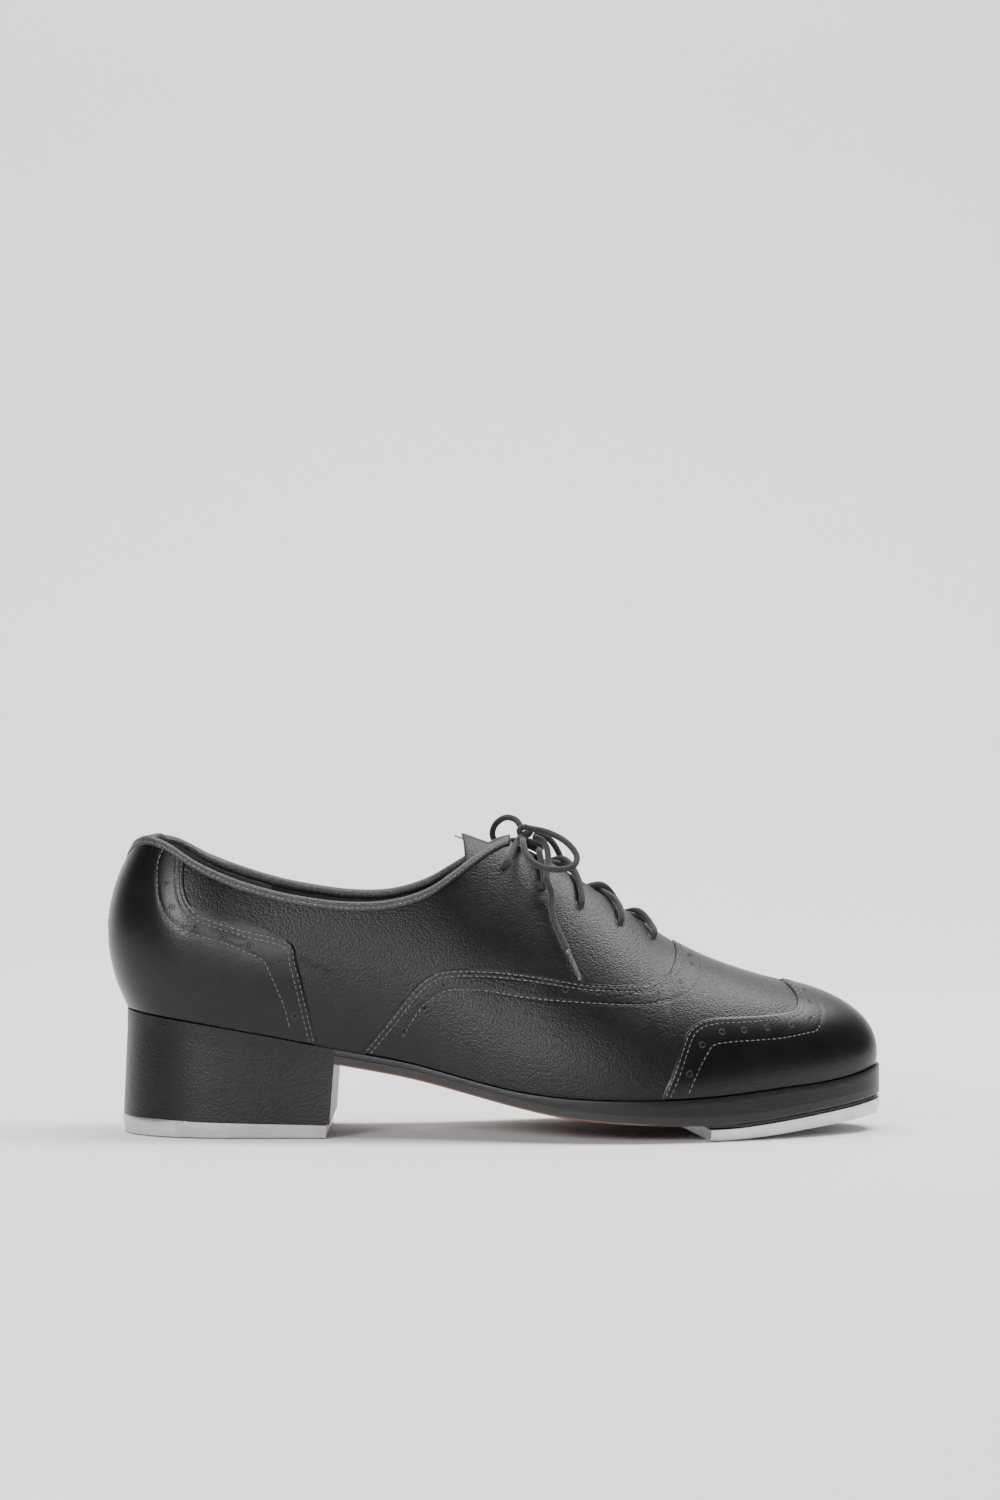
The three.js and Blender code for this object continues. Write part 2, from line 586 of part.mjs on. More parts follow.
const HEEL_SCREWS = [[-74, -20], [-74, 20], [-120, 0.5]];
const TOE_SCREWS = [[90, -24], [84, 28], [124, 5]];
const NAILS = [[-113, 0.5], [-98, -14], [-98, 15], [-70, -14], [-70, 15]];
const heelScrews = HEEL_SCREWS.map(([x, y], i) => screwAt(`heel_tap_screw_${i + 1}`, x, y, SCREW_SINK, 15));
const toeScrews = TOE_SCREWS.map(
  ([x, y], i) => screwAt(`toe_tap_screw_${i + 1}`, x, y, treadLine(x) + SCREW_SINK, 7.2),
);
const nails = NAILS.map(([x, y], i) => nailAt(`heel_nail_${i + 1}`, x, y));
const cutBy = (solid, fasteners) => fasteners.reduce((body, { seat }) => body.subtract(seat), solid);

function makeSole() {
  const seat = (x) => feather(x) - CLEARANCE;
  const weltLow = (x) => seat(x) - WELT_THICKNESS;
  const layersLow = (x) => weltLow(x) - CLEARANCE;
  const outsoleTop = (x) => Math.min(underside(x) + OUTSOLE_THICKNESS, layersLow(x));
  const sockLow = (x) => feather(x) + INSOLE_THICKNESS + CLEARANCE;
  const ringInside = soleLayer(FILLER_INSET - CLEARANCE, (x) => seat(x) + 5, (x) => weltLow(x) - 5);
  add('welt', soleLayer(0, seat, weltLow).subtract(ringInside), ...SOLE);
  add('insole_board', soleLayer(INSOLE_INSET, (x) => feather(x) + INSOLE_THICKNESS, feather), ...BOARD);
  add('sock_liner', soleLayer(INSOLE_INSET + 0.4, (x) => sockLow(x) + SOCK_THICKNESS, sockLow),
    ...LINING_LOOK);
  const bed = soleLayer(FILLER_INSET, seat, weltLow);
  add('bottom_filler', bed.intersect(slice(8, 150)), ...BOARD);
  const shankBand = planPrism([[-100, -6], [7, -6], [7, 7], [-100, 7]], BELOW, ABOVE);
  add('shank', bed.intersect(shankBand), ...STEEL);
  const outsole = soleLayer(0, outsoleTop, underside);
  add('outsole', cutBy(outsole, [...nails, ...toeScrews]), ...SOLE);
  const midsole = soleLayer(0, layersLow, (x) => Math.min(outsoleTop(x) + CLEARANCE, layersLow(x) - 0.3));
  add('midsole', midsole.intersect(slice(MIDSOLE_REAR_X, 150)), ...SOLE);
}

// A heel outline at one height: a rounded back that stands out by a spread, ending at the breast.
const HEEL_STATIONS = STATIONS.filter((u) => u < 1.2).concat([1.2516]);
function heelRing(spread, breastX, height) {
  const half = (side) => HEEL_STATIONS.map((u, i) => {
    const point = soleEdge(u, side, -spread);
    if (i === HEEL_STATIONS.length - 1) point.x = breastX;
    return point.setZ(height(point.x));
  });
  const lateral = half(LATERAL);
  const medial = half(MEDIAL).slice(1).reverse();
  const breastMiddle = lateral.at(-1).clone().lerp(medial[0], 0.5);
  return [...lateral, breastMiddle, ...medial];
}

function makeHeel() {
  const tapTop = curve([[-136, 6.4], [-59, 4.5]]);
  const rearTapSide = (x) => (x < -110 ? 5 : tapTop(x) - 0.2);
  const block = loft([
    heelRing(1.4, BREAST_BOTTOM_X, (x) => tapTop(x) + CLEARANCE),
    heelRing(-0.2, BREAST_TOP_X, (x) => underside(x) - CLEARANCE),
  ]);
  const plate = loft([
    heelRing(0.8, BREAST_BOTTOM_X - 1.2, () => 0),
    heelRing(1.9, BREAST_BOTTOM_X - 1, rearTapSide),
    heelRing(1.5, BREAST_BOTTOM_X - 1, tapTop),
  ]);
  add('heel_block', cutBy(block, [...nails, ...heelScrews]), ...SOLE);
  add('heel_tap', cutBy(plate, heelScrews), ...ALUMINIUM);
  [...nails, ...heelScrews].forEach(({ name, body }) => add(name, body, ...STEEL));
}

function makeToeTap() {
  const [[rearLateral, lateralY], [rearMedial, medialY]] = TOE_TAP_REAR;
  const front = planPrism([[rearLateral, lateralY], [150, lateralY], [150, medialY], [rearMedial, medialY]],
    BELOW, 60);
  const tapTop = (x) => underside(x) - SOUNDBOARD_STACK;
  const edge = (inset, height) => ringOf(STATIONS, (u, side) => {
    const point = soleEdge(u, side, inset);
    return point.setZ(height(point.x));
  });
  const sides = (x) => (treadLine(x) + tapTop(x)) / 2;
  const plate = loft([edge(0.9, treadLine), edge(-0.1, sides), edge(-0.1, tapTop)]).intersect(front);
  const board = soleLayer(0.4, (x) => underside(x) - CLEARANCE,
    (x) => underside(x) - CLEARANCE - SOUNDBOARD_THICKNESS).intersect(front);
  add('toe_tap', cutBy(plate, toeScrews), ...ALUMINIUM);
  add('toe_soundboard', cutBy(board, toeScrews), ...BOARD);
  toeScrews.forEach(({ name, body }) => add(name, body, ...STEEL));
}

// The bow: a knot over the top of the facings, two loops, and two tails that end in aglets.
const KNOT = { centre: [10.8, -0.5, 108.1], radii: [3.1, 3.5, 2.5] };
const AGLET_RADIUS = 0.8;
const LOOSE_LACE = {
  bow_loop_lateral: [[12.2, -4.2, 109.2], [19.5, -9, 107.6], [26.3, -15.5, 103.8], [29.4, -20, 99.2],
    [28, -23.6, 96], [23.4, -25.2, 94.8], [16.4, -22.8, 95.8], [12, -17.6, 99.2], [10.3, -11.4, 103.4],
    [10.2, -5.4, 105.2]],
  bow_loop_medial: [[9.6, 3.7, 109.4], [7.5, 7, 112], [3.6, 11, 112.6], [0, 14, 109.8], [-0.8, 16.6, 105.8],
    [1.4, 17.2, 102.8], [5, 14, 102.4], [8, 9.4, 103.8], [9.8, 4.4, 105.6]],
  lace_tail_lateral: [[14.4, -3.2, 106], [17.2, -7, 104.6], [18.8, -10.8, 101.8], [19.2, -15.8, 97.2],
    [18.6, -21.6, 91.3], [20.2, -22.6, 86.4], [20.4, -25.9, 80.7], [21.8, -29.7, 74.9], [25.6, -34, 66.9]],
  lace_tail_medial: [[14.7, 0.4, 107.4], [19.5, 2.8, 105.2], [23, 8, 100.5], [24.8, 13.5, 95],
    [25.3, 18.4, 88.5], [26, 21.2, 82], [27.6, 25.3, 75.2], [30.1, 30.5, 67.5]],
};
const AGLETS = {
  aglet_lateral: [[25.75, -34.15, 66.55], [30.3, -39.6, 56.2]],
  aglet_medial: [[30.25, 30.7, 67.1], [34.5, 35.5, 57]],
};

function makeLace() {
  add('lace', tube(lacePath(), LACE_RADIUS, LACE_STEPS), ...LACE_LOOK);
  const knot = new THREE.SphereGeometry(1, 12, 8);
  knot.scale(...KNOT.radii);
  knot.translate(...KNOT.centre);
  add('bow_knot', toSolid(knot), ...LACE_LOOK);
  for (const [name, points] of Object.entries(LOOSE_LACE)) {
    add(name, tube(points, LACE_RADIUS, LOOSE_STEPS), ...LACE_LOOK);
  }
  for (const [name, [from, to]] of Object.entries(AGLETS)) {
    const ends = [new THREE.Vector3(...from), new THREE.Vector3(...to)];
    add(name, cylinderBetween(...ends, AGLET_RADIUS, 8), ...AGLET_LOOK);
  }
}

makeOuterLeather();
makeStiffeners();
makeLinings();
makeTongue();
makeBinding();
makeSole();
makeHeel();
makeToeTap();
makeLace();

export default shoe;
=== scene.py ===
import math
from itertools import accumulate

import bmesh
import bpy
import numpy as np
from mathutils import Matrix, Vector


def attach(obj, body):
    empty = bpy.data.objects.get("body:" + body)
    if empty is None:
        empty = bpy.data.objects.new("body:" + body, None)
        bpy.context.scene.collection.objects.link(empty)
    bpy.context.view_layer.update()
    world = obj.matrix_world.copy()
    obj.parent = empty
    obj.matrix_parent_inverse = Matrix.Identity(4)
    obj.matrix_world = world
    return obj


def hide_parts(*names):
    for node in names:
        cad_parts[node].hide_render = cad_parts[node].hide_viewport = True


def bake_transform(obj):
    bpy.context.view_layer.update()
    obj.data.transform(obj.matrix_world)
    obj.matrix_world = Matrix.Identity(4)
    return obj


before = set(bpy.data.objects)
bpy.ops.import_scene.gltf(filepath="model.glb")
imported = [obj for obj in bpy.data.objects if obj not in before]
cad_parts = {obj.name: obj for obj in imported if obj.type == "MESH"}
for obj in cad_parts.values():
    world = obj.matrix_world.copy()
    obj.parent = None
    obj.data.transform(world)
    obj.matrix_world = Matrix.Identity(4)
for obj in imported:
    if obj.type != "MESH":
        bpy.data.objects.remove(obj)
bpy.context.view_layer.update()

# Studio: a pale floor that sweeps up into a pale wall, soft boxes, and a long lens level with the shoe.
sweep_turn = np.linspace(0, math.pi / 2, 24)
sweep_y = np.concatenate([[-4.0], 1.1 + 0.7 * np.sin(sweep_turn), [1.8]])
sweep_z = np.concatenate([[0.0], 0.7 - 0.7 * np.cos(sweep_turn), [4.0]]) - 0.0004
sweep_points = [(x, y, z) for x in (-4.0, 4.0) for y, z in zip(sweep_y, sweep_z)]
sweep_count = len(sweep_y)
sweep_mesh = bpy.data.meshes.new("paper_sweep")
sweep_mesh.from_pydata(
    sweep_points,
    [],
    [(i, sweep_count + i, sweep_count + i + 1, i + 1) for i in range(sweep_count - 1)],
)
sweep_mesh.shade_smooth()
sweep = bpy.data.objects.new("paper_sweep", sweep_mesh)
bpy.context.scene.collection.objects.link(sweep)

camera = bpy.data.objects.new("camera", bpy.data.cameras.new("camera"))
camera.location = (0.0019, -1.379, 0.1374)
camera.rotation_euler = (math.pi / 2, 0, 0)
camera.data.lens = 91.2
bpy.context.scene.collection.objects.link(camera)
bpy.context.scene.camera = camera

SOFT_BOXES = [
    # name, place, aim, width, height, watts
    ("front_box", (-0.75, -1.35, 0.62), (0.0, 0.0, 0.05), 0.45, 0.4, 16),
    ("side_box", (-0.1, -1.6, 0.5), (0.0, 0.0, 0.05), 0.3, 0.3, 5),
    ("top_box", (0.7, 0.25, 1.1), (0.05, 0.0, 0.05), 0.5, 0.5, 9),
    ("floor_wash", (0.0, 0.0, 2.6), (0.0, 0.0, 0.0), 3.0, 1.4, 62),
    ("wall_wash", (0.0, 0.6, 2.4), (0.0, 1.8, 0.7), 3.4, 0.8, 80),
]
for name, place, aim, width, height, watts in SOFT_BOXES:
    light = bpy.data.lights.new(name, "AREA")
    light.shape = "RECTANGLE"
    light.size, light.size_y, light.energy = width, height, watts
    box = bpy.data.objects.new(name, light)
    box.location = place
    box.rotation_euler = (Vector(aim) - Vector(place)).to_track_quat("-Z", "Y").to_euler()
    bpy.context.scene.collection.objects.link(box)

world = bpy.data.worlds.new("studio")
world.use_nodes = True
world.node_tree.nodes["Background"].inputs["Color"].default_value = (0.9, 0.9, 0.92, 1)
world.node_tree.nodes["Background"].inputs["Strength"].default_value = 0.16
bpy.context.scene.world = world


# Free ends of the lace: a round black cotton lace 2.2 mm thick, tied in a bow. Two loops leave the knot
# and go back into it, and two ends hang down the facings to plastic aglets.
MM = 0.001
LACE_RADIUS = 1.1
BRAID_PITCH = 1.9


class Term:
    """A value inside a material. Arithmetic on it adds Math nodes, and Term.node adds any other node."""

    tree = None

    def __init__(self, socket):
        self.socket = socket

    @classmethod
    def node(cls, kind, settings=(), inputs=(), output=0):
        """A node of this kind: its settings are set first, then the values or links of its sockets."""
        made = cls.tree.nodes.new("ShaderNode" + kind)
        for key, value in dict(settings).items():
            if key != "stops":
                setattr(made, key, value)
                continue
            ramp = made.color_ramp
            while len(ramp.elements) < len(value):
                ramp.elements.new(1)
            for element, (position, shade) in zip(ramp.elements, value):
                element.position = position
                element.color = (shade, shade, shade, 1)
        for key, value in dict(inputs).items():
            if isinstance(value, Term):
                cls.tree.links.new(value.socket, made.inputs[key])
            else:
                made.inputs[key].default_value = value
        return cls(made.outputs[output])

    def math(self, operation, first, second):
        return Term.node("Math", {"operation": operation}, {0: first, 1: second})

    def __add__(self, other):
        return self.math("ADD", self, other)

    def __radd__(self, other):
        return self.math("ADD", other, self)

    def __sub__(self, other):
        return self.math("SUBTRACT", self, other)

    def __rsub__(self, other):
        return self.math("SUBTRACT", other, self)

    def __mul__(self, other):
        return self.math("MULTIPLY", self, other)

    def __rmul__(self, other):
        return self.math("MULTIPLY", other, self)

    def ramp(self, *stops):
        """This value through a grey ramp of (position, level) stops."""
        return Term.node("ValToRGB", {"stops": stops}, {0: self})

    def between(self, low, high):
        """A colour between two others, this value being the share of the second."""
        return Term.node("Mix", {"data_type": "RGBA"}, {0: self, 6: (*low, 1), 7: (*high, 1)}, 2)


def start_finish(name):
    """A new material whose nodes Term adds to; gives the material and the piece's own coordinates."""
    made = bpy.data.materials.new(name)
    made.use_nodes = True
    made.node_tree.nodes.clear()
    Term.tree = made.node_tree
    return made, Term.node("TexCoord", output=3)


def close_finish(made, height=None, rise=0.0, **sockets):
    """Feeds the shader. height is a relief from 0 to 1 that stands rise millimetres high."""
    inputs = {key.replace("_", " "): value for key, value in sockets.items()}
    if height is not None:
        inputs["Normal"] = Term.node("Bump", {}, {"Strength": 1.0, "Distance": rise * MM, "Height": height})
    shader = Term.node("BsdfPrincipled", {}, inputs)
    output = made.node_tree.nodes.new("ShaderNodeOutputMaterial")
    made.node_tree.links.new(shader.socket, output.inputs["Surface"])
    return made


def noise(where, size, detail=2.0, roughness=0.5):
    """Cloudy noise with features of about this size in millimetres."""
    return Term.node(
        "TexNoise", {}, {"Vector": where, "Scale": 1 / (size * MM), "Detail": detail, "Roughness": roughness}
    )


def lace_finish():
    made, here = start_finish("black_cotton_braid")
    fluff_and_glints = noise(here, 0.35, 3)
    # Noise flecks run from near black to grey: the cotton's own fibre tone, with the lighter grey flecks
    # painted glints.
    colour = fluff_and_glints.ramp((0.42, 0), (0.72, 1)).between((0.006, 0.006, 0.0065), (0.05, 0.05, 0.053))
    return close_finish(
        made, fluff_and_glints, 0.12, Base_Color=colour, Roughness=0.85, Sheen_Weight=0.25, Sheen_Roughness=0.4
    )


COTTON = lace_finish()


def curve(points):
    """A smooth line y(x) through points: cubic pieces whose slope at a point weighs both neighbours,
    running straight on past the two ends."""
    x_at, y_at = np.array(points, float).T
    gaps = np.diff(x_at)
    slopes = np.diff(y_at) / gaps
    bend = (slopes[:-1] * gaps[1:] + slopes[1:] * gaps[:-1]) / (gaps[:-1] + gaps[1:])
    tilt = np.concatenate([slopes[:1], bend, slopes[-1:]])

    def line(x):
        inside = np.clip(np.asarray(x, float), x_at[0], x_at[-1])
        i = np.clip(np.searchsorted(x_at, inside) - 1, 0, len(gaps) - 1)
        t = (inside - x_at[i]) / gaps[i]
        return (
            (2 * t**3 - 3 * t**2 + 1) * y_at[i]
            + (t**3 - 2 * t**2 + t) * gaps[i] * tilt[i]
            + (3 * t**2 - 2 * t**3) * y_at[i + 1]
            + (t**3 - t**2) * gaps[i] * tilt[i + 1]
            + (x - inside) * np.where(x < x_at[0], tilt[0], tilt[-1])
        )

    return line


def unit(vectors):
    return vectors / np.maximum(np.linalg.norm(vectors, axis=-1, keepdims=True), 1e-12)


def run_of(points):
    """Distance along a polyline at each of its points."""
    return np.concatenate([[0], np.cumsum(np.linalg.norm(np.diff(points, axis=0), axis=1))])


def smooth_path(points, pitch):
    """A smooth path through points, sampled about every pitch."""
    points = np.array(points, float)
    knots = np.concatenate([[0], np.cumsum(np.sqrt(np.linalg.norm(np.diff(points, axis=0), axis=1)))])
    fine = np.linspace(0, knots[-1], 40 * len(points))
    dense = np.stack([curve(np.c_[knots, column])(fine) for column in points.T], -1)
    return resampled(dense, np.linspace(0, 1, max(int(run_of(dense)[-1] / pitch), 4) + 1))


def resampled(points, shares):
    """A polyline read at shares of its length."""
    points = np.asarray(points, float)
    run = run_of(points)
    return np.stack([np.interp(np.asarray(shares) * run[-1], run, column) for column in points.T], -1)


def grid_faces(rows, columns, wrap=False):
    """Quads of a grid of points numbered row by row; wrap joins the last column to the first."""
    across = columns if wrap else columns - 1
    r, c = np.meshgrid(np.arange(rows - 1), np.arange(across), indexing="ij")
    following = (c + 1) % columns
    corners = [r * columns + c, r * columns + following, (r + 1) * columns + following, (r + 1) * columns + c]
    return np.stack(corners, -1).reshape(-1, 4)


def braid(angle, run):
    """Relief of two families of strands that wind both ways round the lace, from 0 to 1."""
    turn = 2 * math.pi * run / BRAID_PITCH
    return np.maximum(np.abs(np.cos(2 * angle + turn)), np.abs(np.cos(2 * angle - turn)))


def tube(path, radius, sides=14, relief=None, depth=0.0):
    """Rings square to a path, each turned as its neighbour is, with the ends drawn in to a point.
    relief(angle, distance along) lifts the surface by a share of depth."""
    path = np.asarray(path, float)
    forward = unit(np.gradient(path, axis=0))
    first = unit(np.cross(forward[0], [0.31, 0.52, 0.79]))
    square = np.array(list(accumulate(forward[1:], lambda s, f: unit(s - (s @ f) * f), initial=first)))
    angle = np.linspace(0, 2 * math.pi, sides, endpoint=False)
    lift = 0 if relief is None else depth * (relief(angle[None], run_of(path)[:, None]) - 0.7)
    reach = np.full((len(path), sides), float(radius)) + lift
    across = np.cross(forward, square)
    spoke = square[:, None] * np.cos(angle)[:, None] + across[:, None] * np.sin(angle)[:, None]
    rings = path[:, None] + spoke * reach[..., None]
    tips = [
        path[i] + forward[i] * way * radius * share + (rings[i] - path[i]) * width
        for i, way in ((0, -1), (-1, 1))
        for share, width in ((0.25, 0.0), (0.2, 0.6))
    ]
    rings = np.concatenate([[tips[0], tips[1]], rings, [tips[3], tips[2]]])
    return rings.reshape(-1, 3), grid_faces(len(rings), sides, wrap=True)


def gathered(*meshes):
    """Several (points, faces) pairs as one."""
    starts = np.cumsum([0] + [len(points) for points, _ in meshes[:-1]])
    return (
        np.concatenate([points for points, _ in meshes]),
        np.concatenate([faces + start for (_, faces), start in zip(meshes, starts)]),
    )


def piece(name, mesh, finish, sharp=40, **attributes):
    """A finished piece from points in millimetres and quads: doubles merged, faces turned outwards, smooth
    but for edges sharper than the angle. attributes are values kept at its points."""
    points, faces = mesh
    made = bpy.data.meshes.new(name)
    made.from_pydata((points * MM).tolist(), [], faces.tolist())
    for key, values in attributes.items():
        attribute = made.attributes.new(key, "FLOAT", "POINT")
        attribute.data.foreach_set("value", np.ravel(values).astype(np.float32))
    work = bmesh.new()
    work.from_mesh(made)
    bmesh.ops.remove_doubles(work, verts=work.verts, dist=2e-6)
    bmesh.ops.recalc_face_normals(work, faces=work.faces)
    work.to_mesh(made)
    work.free()
    made.shade_smooth()
    made.set_sharp_from_angle(angle=math.radians(sharp))
    made.materials.append(finish)
    body = bpy.data.objects.new(name, made)
    bpy.context.scene.collection.objects.link(body)
    return body


FREE_LACE = {
    "bow_loop_lateral": [
        (12.2, -4.2, 109.2), (19.5, -9, 107.6), (26.3, -15.5, 103.8), (29.4, -20, 99.2), (28, -23.6, 96),
        (23.4, -25.2, 94.8), (16.4, -22.8, 95.8), (12, -17.6, 99.2), (10.3, -11.4, 103.4),
        (10.2, -5.4, 105.2),
    ],
    "bow_loop_medial": [
        (9.6, 3.7, 109.4), (7.5, 7, 112), (3.6, 11, 112.6), (0, 14, 109.8), (-0.8, 16.6, 105.8),
        (1.4, 17.2, 102.8), (5, 14, 102.4), (8, 9.4, 103.8), (9.8, 4.4, 105.6),
    ],
    "lace_tail_lateral": [
        (14.4, -3.2, 106), (17.2, -7, 104.6), (18.8, -10.8, 101.8), (19.2, -15.8, 97.2), (18.6, -21.6, 91.3),
        (20.2, -22.6, 86.4), (20.4, -25.9, 80.7), (21.8, -29.7, 74.9), (25.6, -34, 66.9),
    ],
    "lace_tail_medial": [
        (14.7, 0.4, 107.4), (19.5, 2.8, 105.2), (23, 8, 100.5), (24.8, 13.5, 95), (25.3, 18.4, 88.5),
        (26, 21.2, 82), (27.6, 25.3, 75.2), (30.1, 30.5, 67.5),
    ],
}
AGLETS = {
    "aglet_lateral": [(25.75, -34.15, 66.55), (30.3, -39.6, 56.2)],
    "aglet_medial": [(30.25, 30.7, 67.1), (34.5, 35.5, 57)],
}


def aglet_finish():
    made, here = start_finish("smoked_plastic")
    streaks = noise(Term.node("Mapping", {}, {"Vector": here, "Scale": (1, 1, 0.2)}), 0.8, 2)
    colour = streaks.ramp((0.35, 0), (0.7, 1)).between((0.028, 0.028, 0.03), (0.11, 0.11, 0.115))
    return close_finish(made, streaks, 0.03, Base_Color=colour, Roughness=0.28, Coat_Weight=0.4)


def sleeve(start, end, radius):
    """A thin sleeve that is crimped where it grips the lace and drawn in a little at its tip."""
    path = np.linspace(start, end, 40)
    points, faces = tube(path, radius, 18)
    reach = np.subtract(end, start)
    along = np.clip((points - start) @ unit(reach) / np.linalg.norm(reach), 0, 1)
    spine = np.array(start) + along[:, None] * np.subtract(end, start)
    mouth = 0.22 * np.exp(-(((along - 0.03) / 0.05) ** 2))
    swell = 1 + mouth - 0.25 * np.clip((along - 0.93) / 0.07, 0, 1) ** 2
    return spine + (points - spine) * swell[:, None], faces


SMOKED_PLASTIC = aglet_finish()
aglets = {}
for name, (start, end) in AGLETS.items():
    aglets[name] = piece(name + "_sleeve", sleeve(start, end, 0.82), SMOKED_PLASTIC)
    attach(aglets[name], "rear_shoe")
    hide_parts(name)

for name, points in FREE_LACE.items():
    path = smooth_path(points, 0.28)
    strand = piece(name + "_braid", tube(path, LACE_RADIUS, 14, braid, 0.28), COTTON)
    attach(strand, "rear_shoe")
    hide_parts(name)
    goes_on = [aglets[name.replace("lace_tail", "aglet")]] if "tail" in name else []


# Linings: thin black leather next to the foot, one piece round the heel and waist and one over the toes,
# cut and pulled over the last. Every part of the upper is measured from that last surface.
LATERAL, MEDIAL = -1, 1
HEEL_X, TOE_X, POLE_X = -97, 62, 103
HEEL_REACH, TOE_REACH = 35.6, 76.2
HEEL_ROUND, TOE_ROUND = 0.87, 0.82
RIB_RUN = TOE_X - HEEL_X
feather = curve([
    (-132.6, 44.3), (-96, 38.7), (-58, 31.6), (-27.5, 26), (-10.5, 21.6), (6.8, 17.6), (23.7, 15.4),
    (41, 14.5), (62, 14.4), (85, 15.7), (102, 17.4), (119, 18.9), (132, 21.2), (138.2, 23.2),
])
crown = curve([
    (-133, 240), (-97, 240), (-60, 190), (-35, 149), (-18, 127), (-5, 114.5), (7.3, 107), (18, 100.6),
    (30, 93), (47, 81), (64, 69), (76, 62.8), (89, 57.9), (103, 54),
])
topline = curve([
    (-133, 102), (-130, 105), (-126, 106.8), (-120, 106.3), (-105, 99.4), (-90, 93.8), (-79, 90.6),
    (-66, 88), (-52, 86.3), (-38, 86.8), (-24, 91.2), (-14, 97.1), (-5, 102.6), (3, 106.6), (8, 107.5),
])
lateral_half = curve([
    (-133, 29.5), (-97, 32.5), (-58, 32.5), (-28, 36), (0, 43), (25, 48), (45, 49), (65, 47), (90, 41.5),
    (115, 35), (139, 27),
])
medial_half = curve([
    (-133, 29.5), (-97, 32), (-58, 28.5), (-28, 29), (0, 35), (25, 43), (45, 47), (65, 46.5), (90, 42.5),
    (115, 38), (139, 32),
])
middle = curve([(-133, 0.7), (0, 0.7), (60, 1.2), (103, 3.7), (139, 6.7)])
pinch = curve([
    (-133, 0.1), (-60, 0.1), (-20, 0.25), (10, 0.36), (45, 0.34), (64, 0.27), (90, 0.12), (103, 0.05),
    (139, 0),
])
swell = curve([(-133, 0), (-60, 0), (-20, 0.5), (20, 1.5), (60, 2.2), (90, 2.2), (110, 2), (139, 1)])
heel_swell = curve([(-140, 8.5), (-132, 7.6), (-97, 4), (-60, 3), (-30, 2), (0, 0), (139, 0)])
lean = curve([(-140, 2), (-97, -5), (-60, -1), (-30, 0), (0, 0), (139, 0)])


def folded(u, phi, side):
    """Coordinates past the back seam, the toe or the ridge, as those of the shoe's other half."""
    u, phi, side = (np.array(a, float) for a in np.broadcast_arrays(u, phi, side))
    side = side * np.where((u < 0) | (u > 3), -1, 1) * np.where(phi > math.pi / 2, -1, 1)
    u = np.where(u > 3, 6 - u, np.abs(u))
    return u, np.where(phi > math.pi / 2, math.pi - phi, phi), side


def last(u, phi, side=LATERAL):
    """The last's surface. u runs 0 to 1 round the heel, 1 to 2 along the side and 2 to 3 round the toe;
    phi rises from the feather edge at 0 to the ridge at a quarter turn. Each rib is a part of an ellipse
    from the sole's outline to the ridge, pinched in or swollen out by the profile curves."""
    u, phi, side = folded(u, phi, side)
    heel, toe = u < 1, u > 2
    turn = np.where(heel, 1 - u, np.where(toe, u - 2, 0)) * math.pi / 2
    sine, cosine = np.sin(turn), np.maximum(np.cos(turn), 0)
    straight = HEEL_X + RIB_RUN * np.clip(u - 1, 0, 1)
    foot_x = np.where(heel, HEEL_X - HEEL_REACH * sine**HEEL_ROUND, straight)
    foot_x = np.where(toe, TOE_X + TOE_REACH * sine**TOE_ROUND, foot_x)
    root_x = np.where(heel, HEEL_X, np.where(toe, TOE_X + (POLE_X - TOE_X) * sine, straight))
    half = np.where(side < 0, lateral_half(foot_x), medial_half(foot_x))
    narrowed = np.where(heel, cosine**HEEL_ROUND, np.where(toe, cosine**TOE_ROUND, 1))
    foot_y, root_y = middle(foot_x) + side * half * narrowed, middle(root_x)
    low, high = feather(foot_x), crown(root_x)
    power = np.where(toe, 1 - 0.26 * sine**2, 1)
    slope = np.where(toe, 0.21 * (foot_x - root_x) / (high - low), 0)
    rho = np.maximum(np.cos(phi), 0) ** power
    rise = np.maximum(np.sin(phi), 0) ** power * (1 - slope * rho)
    z = low + (high - low) * rise
    wall = np.clip((z - low) / (np.minimum(topline(foot_x), high) - low), 0, 1)
    reach = np.hypot(foot_x - root_x, foot_y - root_y)
    sides = swell(foot_x) * 4 * rise * (1 - rise)
    added = sides + heel_swell(foot_x) * 4 * wall * (1 - wall) + lean(foot_x) * wall
    share = rho * (1 - pinch(foot_x) * rise**2) + added * rho / np.maximum(reach, 1e-9)
    return np.stack([root_x + (foot_x - root_x) * share, root_y + (foot_y - root_y) * share, z], -1)


def on_last(u, phi, depth, side=LATERAL):
    """A point this deep below the outer face of the upper, square to the last; less than 0 stands proud."""
    u, phi, side = folded(u, phi, side)
    step = 1e-3
    clear = np.clip(phi, 0.02, math.pi / 2 - 0.02)
    clear_u = np.clip(u, step, 3 - step)
    along = last(clear_u + step, clear, side) - last(clear_u - step, clear, side)
    up = last(clear_u, clear + step, side) - last(clear_u, clear - step, side)
    normal = np.cross(along, up) * -side[..., None]
    flat = (phi > math.pi / 2 - 1e-4) | (u < 1e-4) | (u > 3 - 1e-4)
    normal[..., 1] = np.where(flat, 0, normal[..., 1])
    return last(u, phi, side) - unit(normal) * np.asarray(depth, float)[..., None]


LOOK_U = np.concatenate([np.linspace(0, 1, 161), np.linspace(1, 2, 241)[1:], np.linspace(2, 3, 201)[1:]])
LOOK_PHI = np.linspace(0, math.pi / 2, 181)
SEEN = {side: last(LOOK_U[:, None], LOOK_PHI[None], side)[..., [0, 2]] for side in (LATERAL, MEDIAL)}


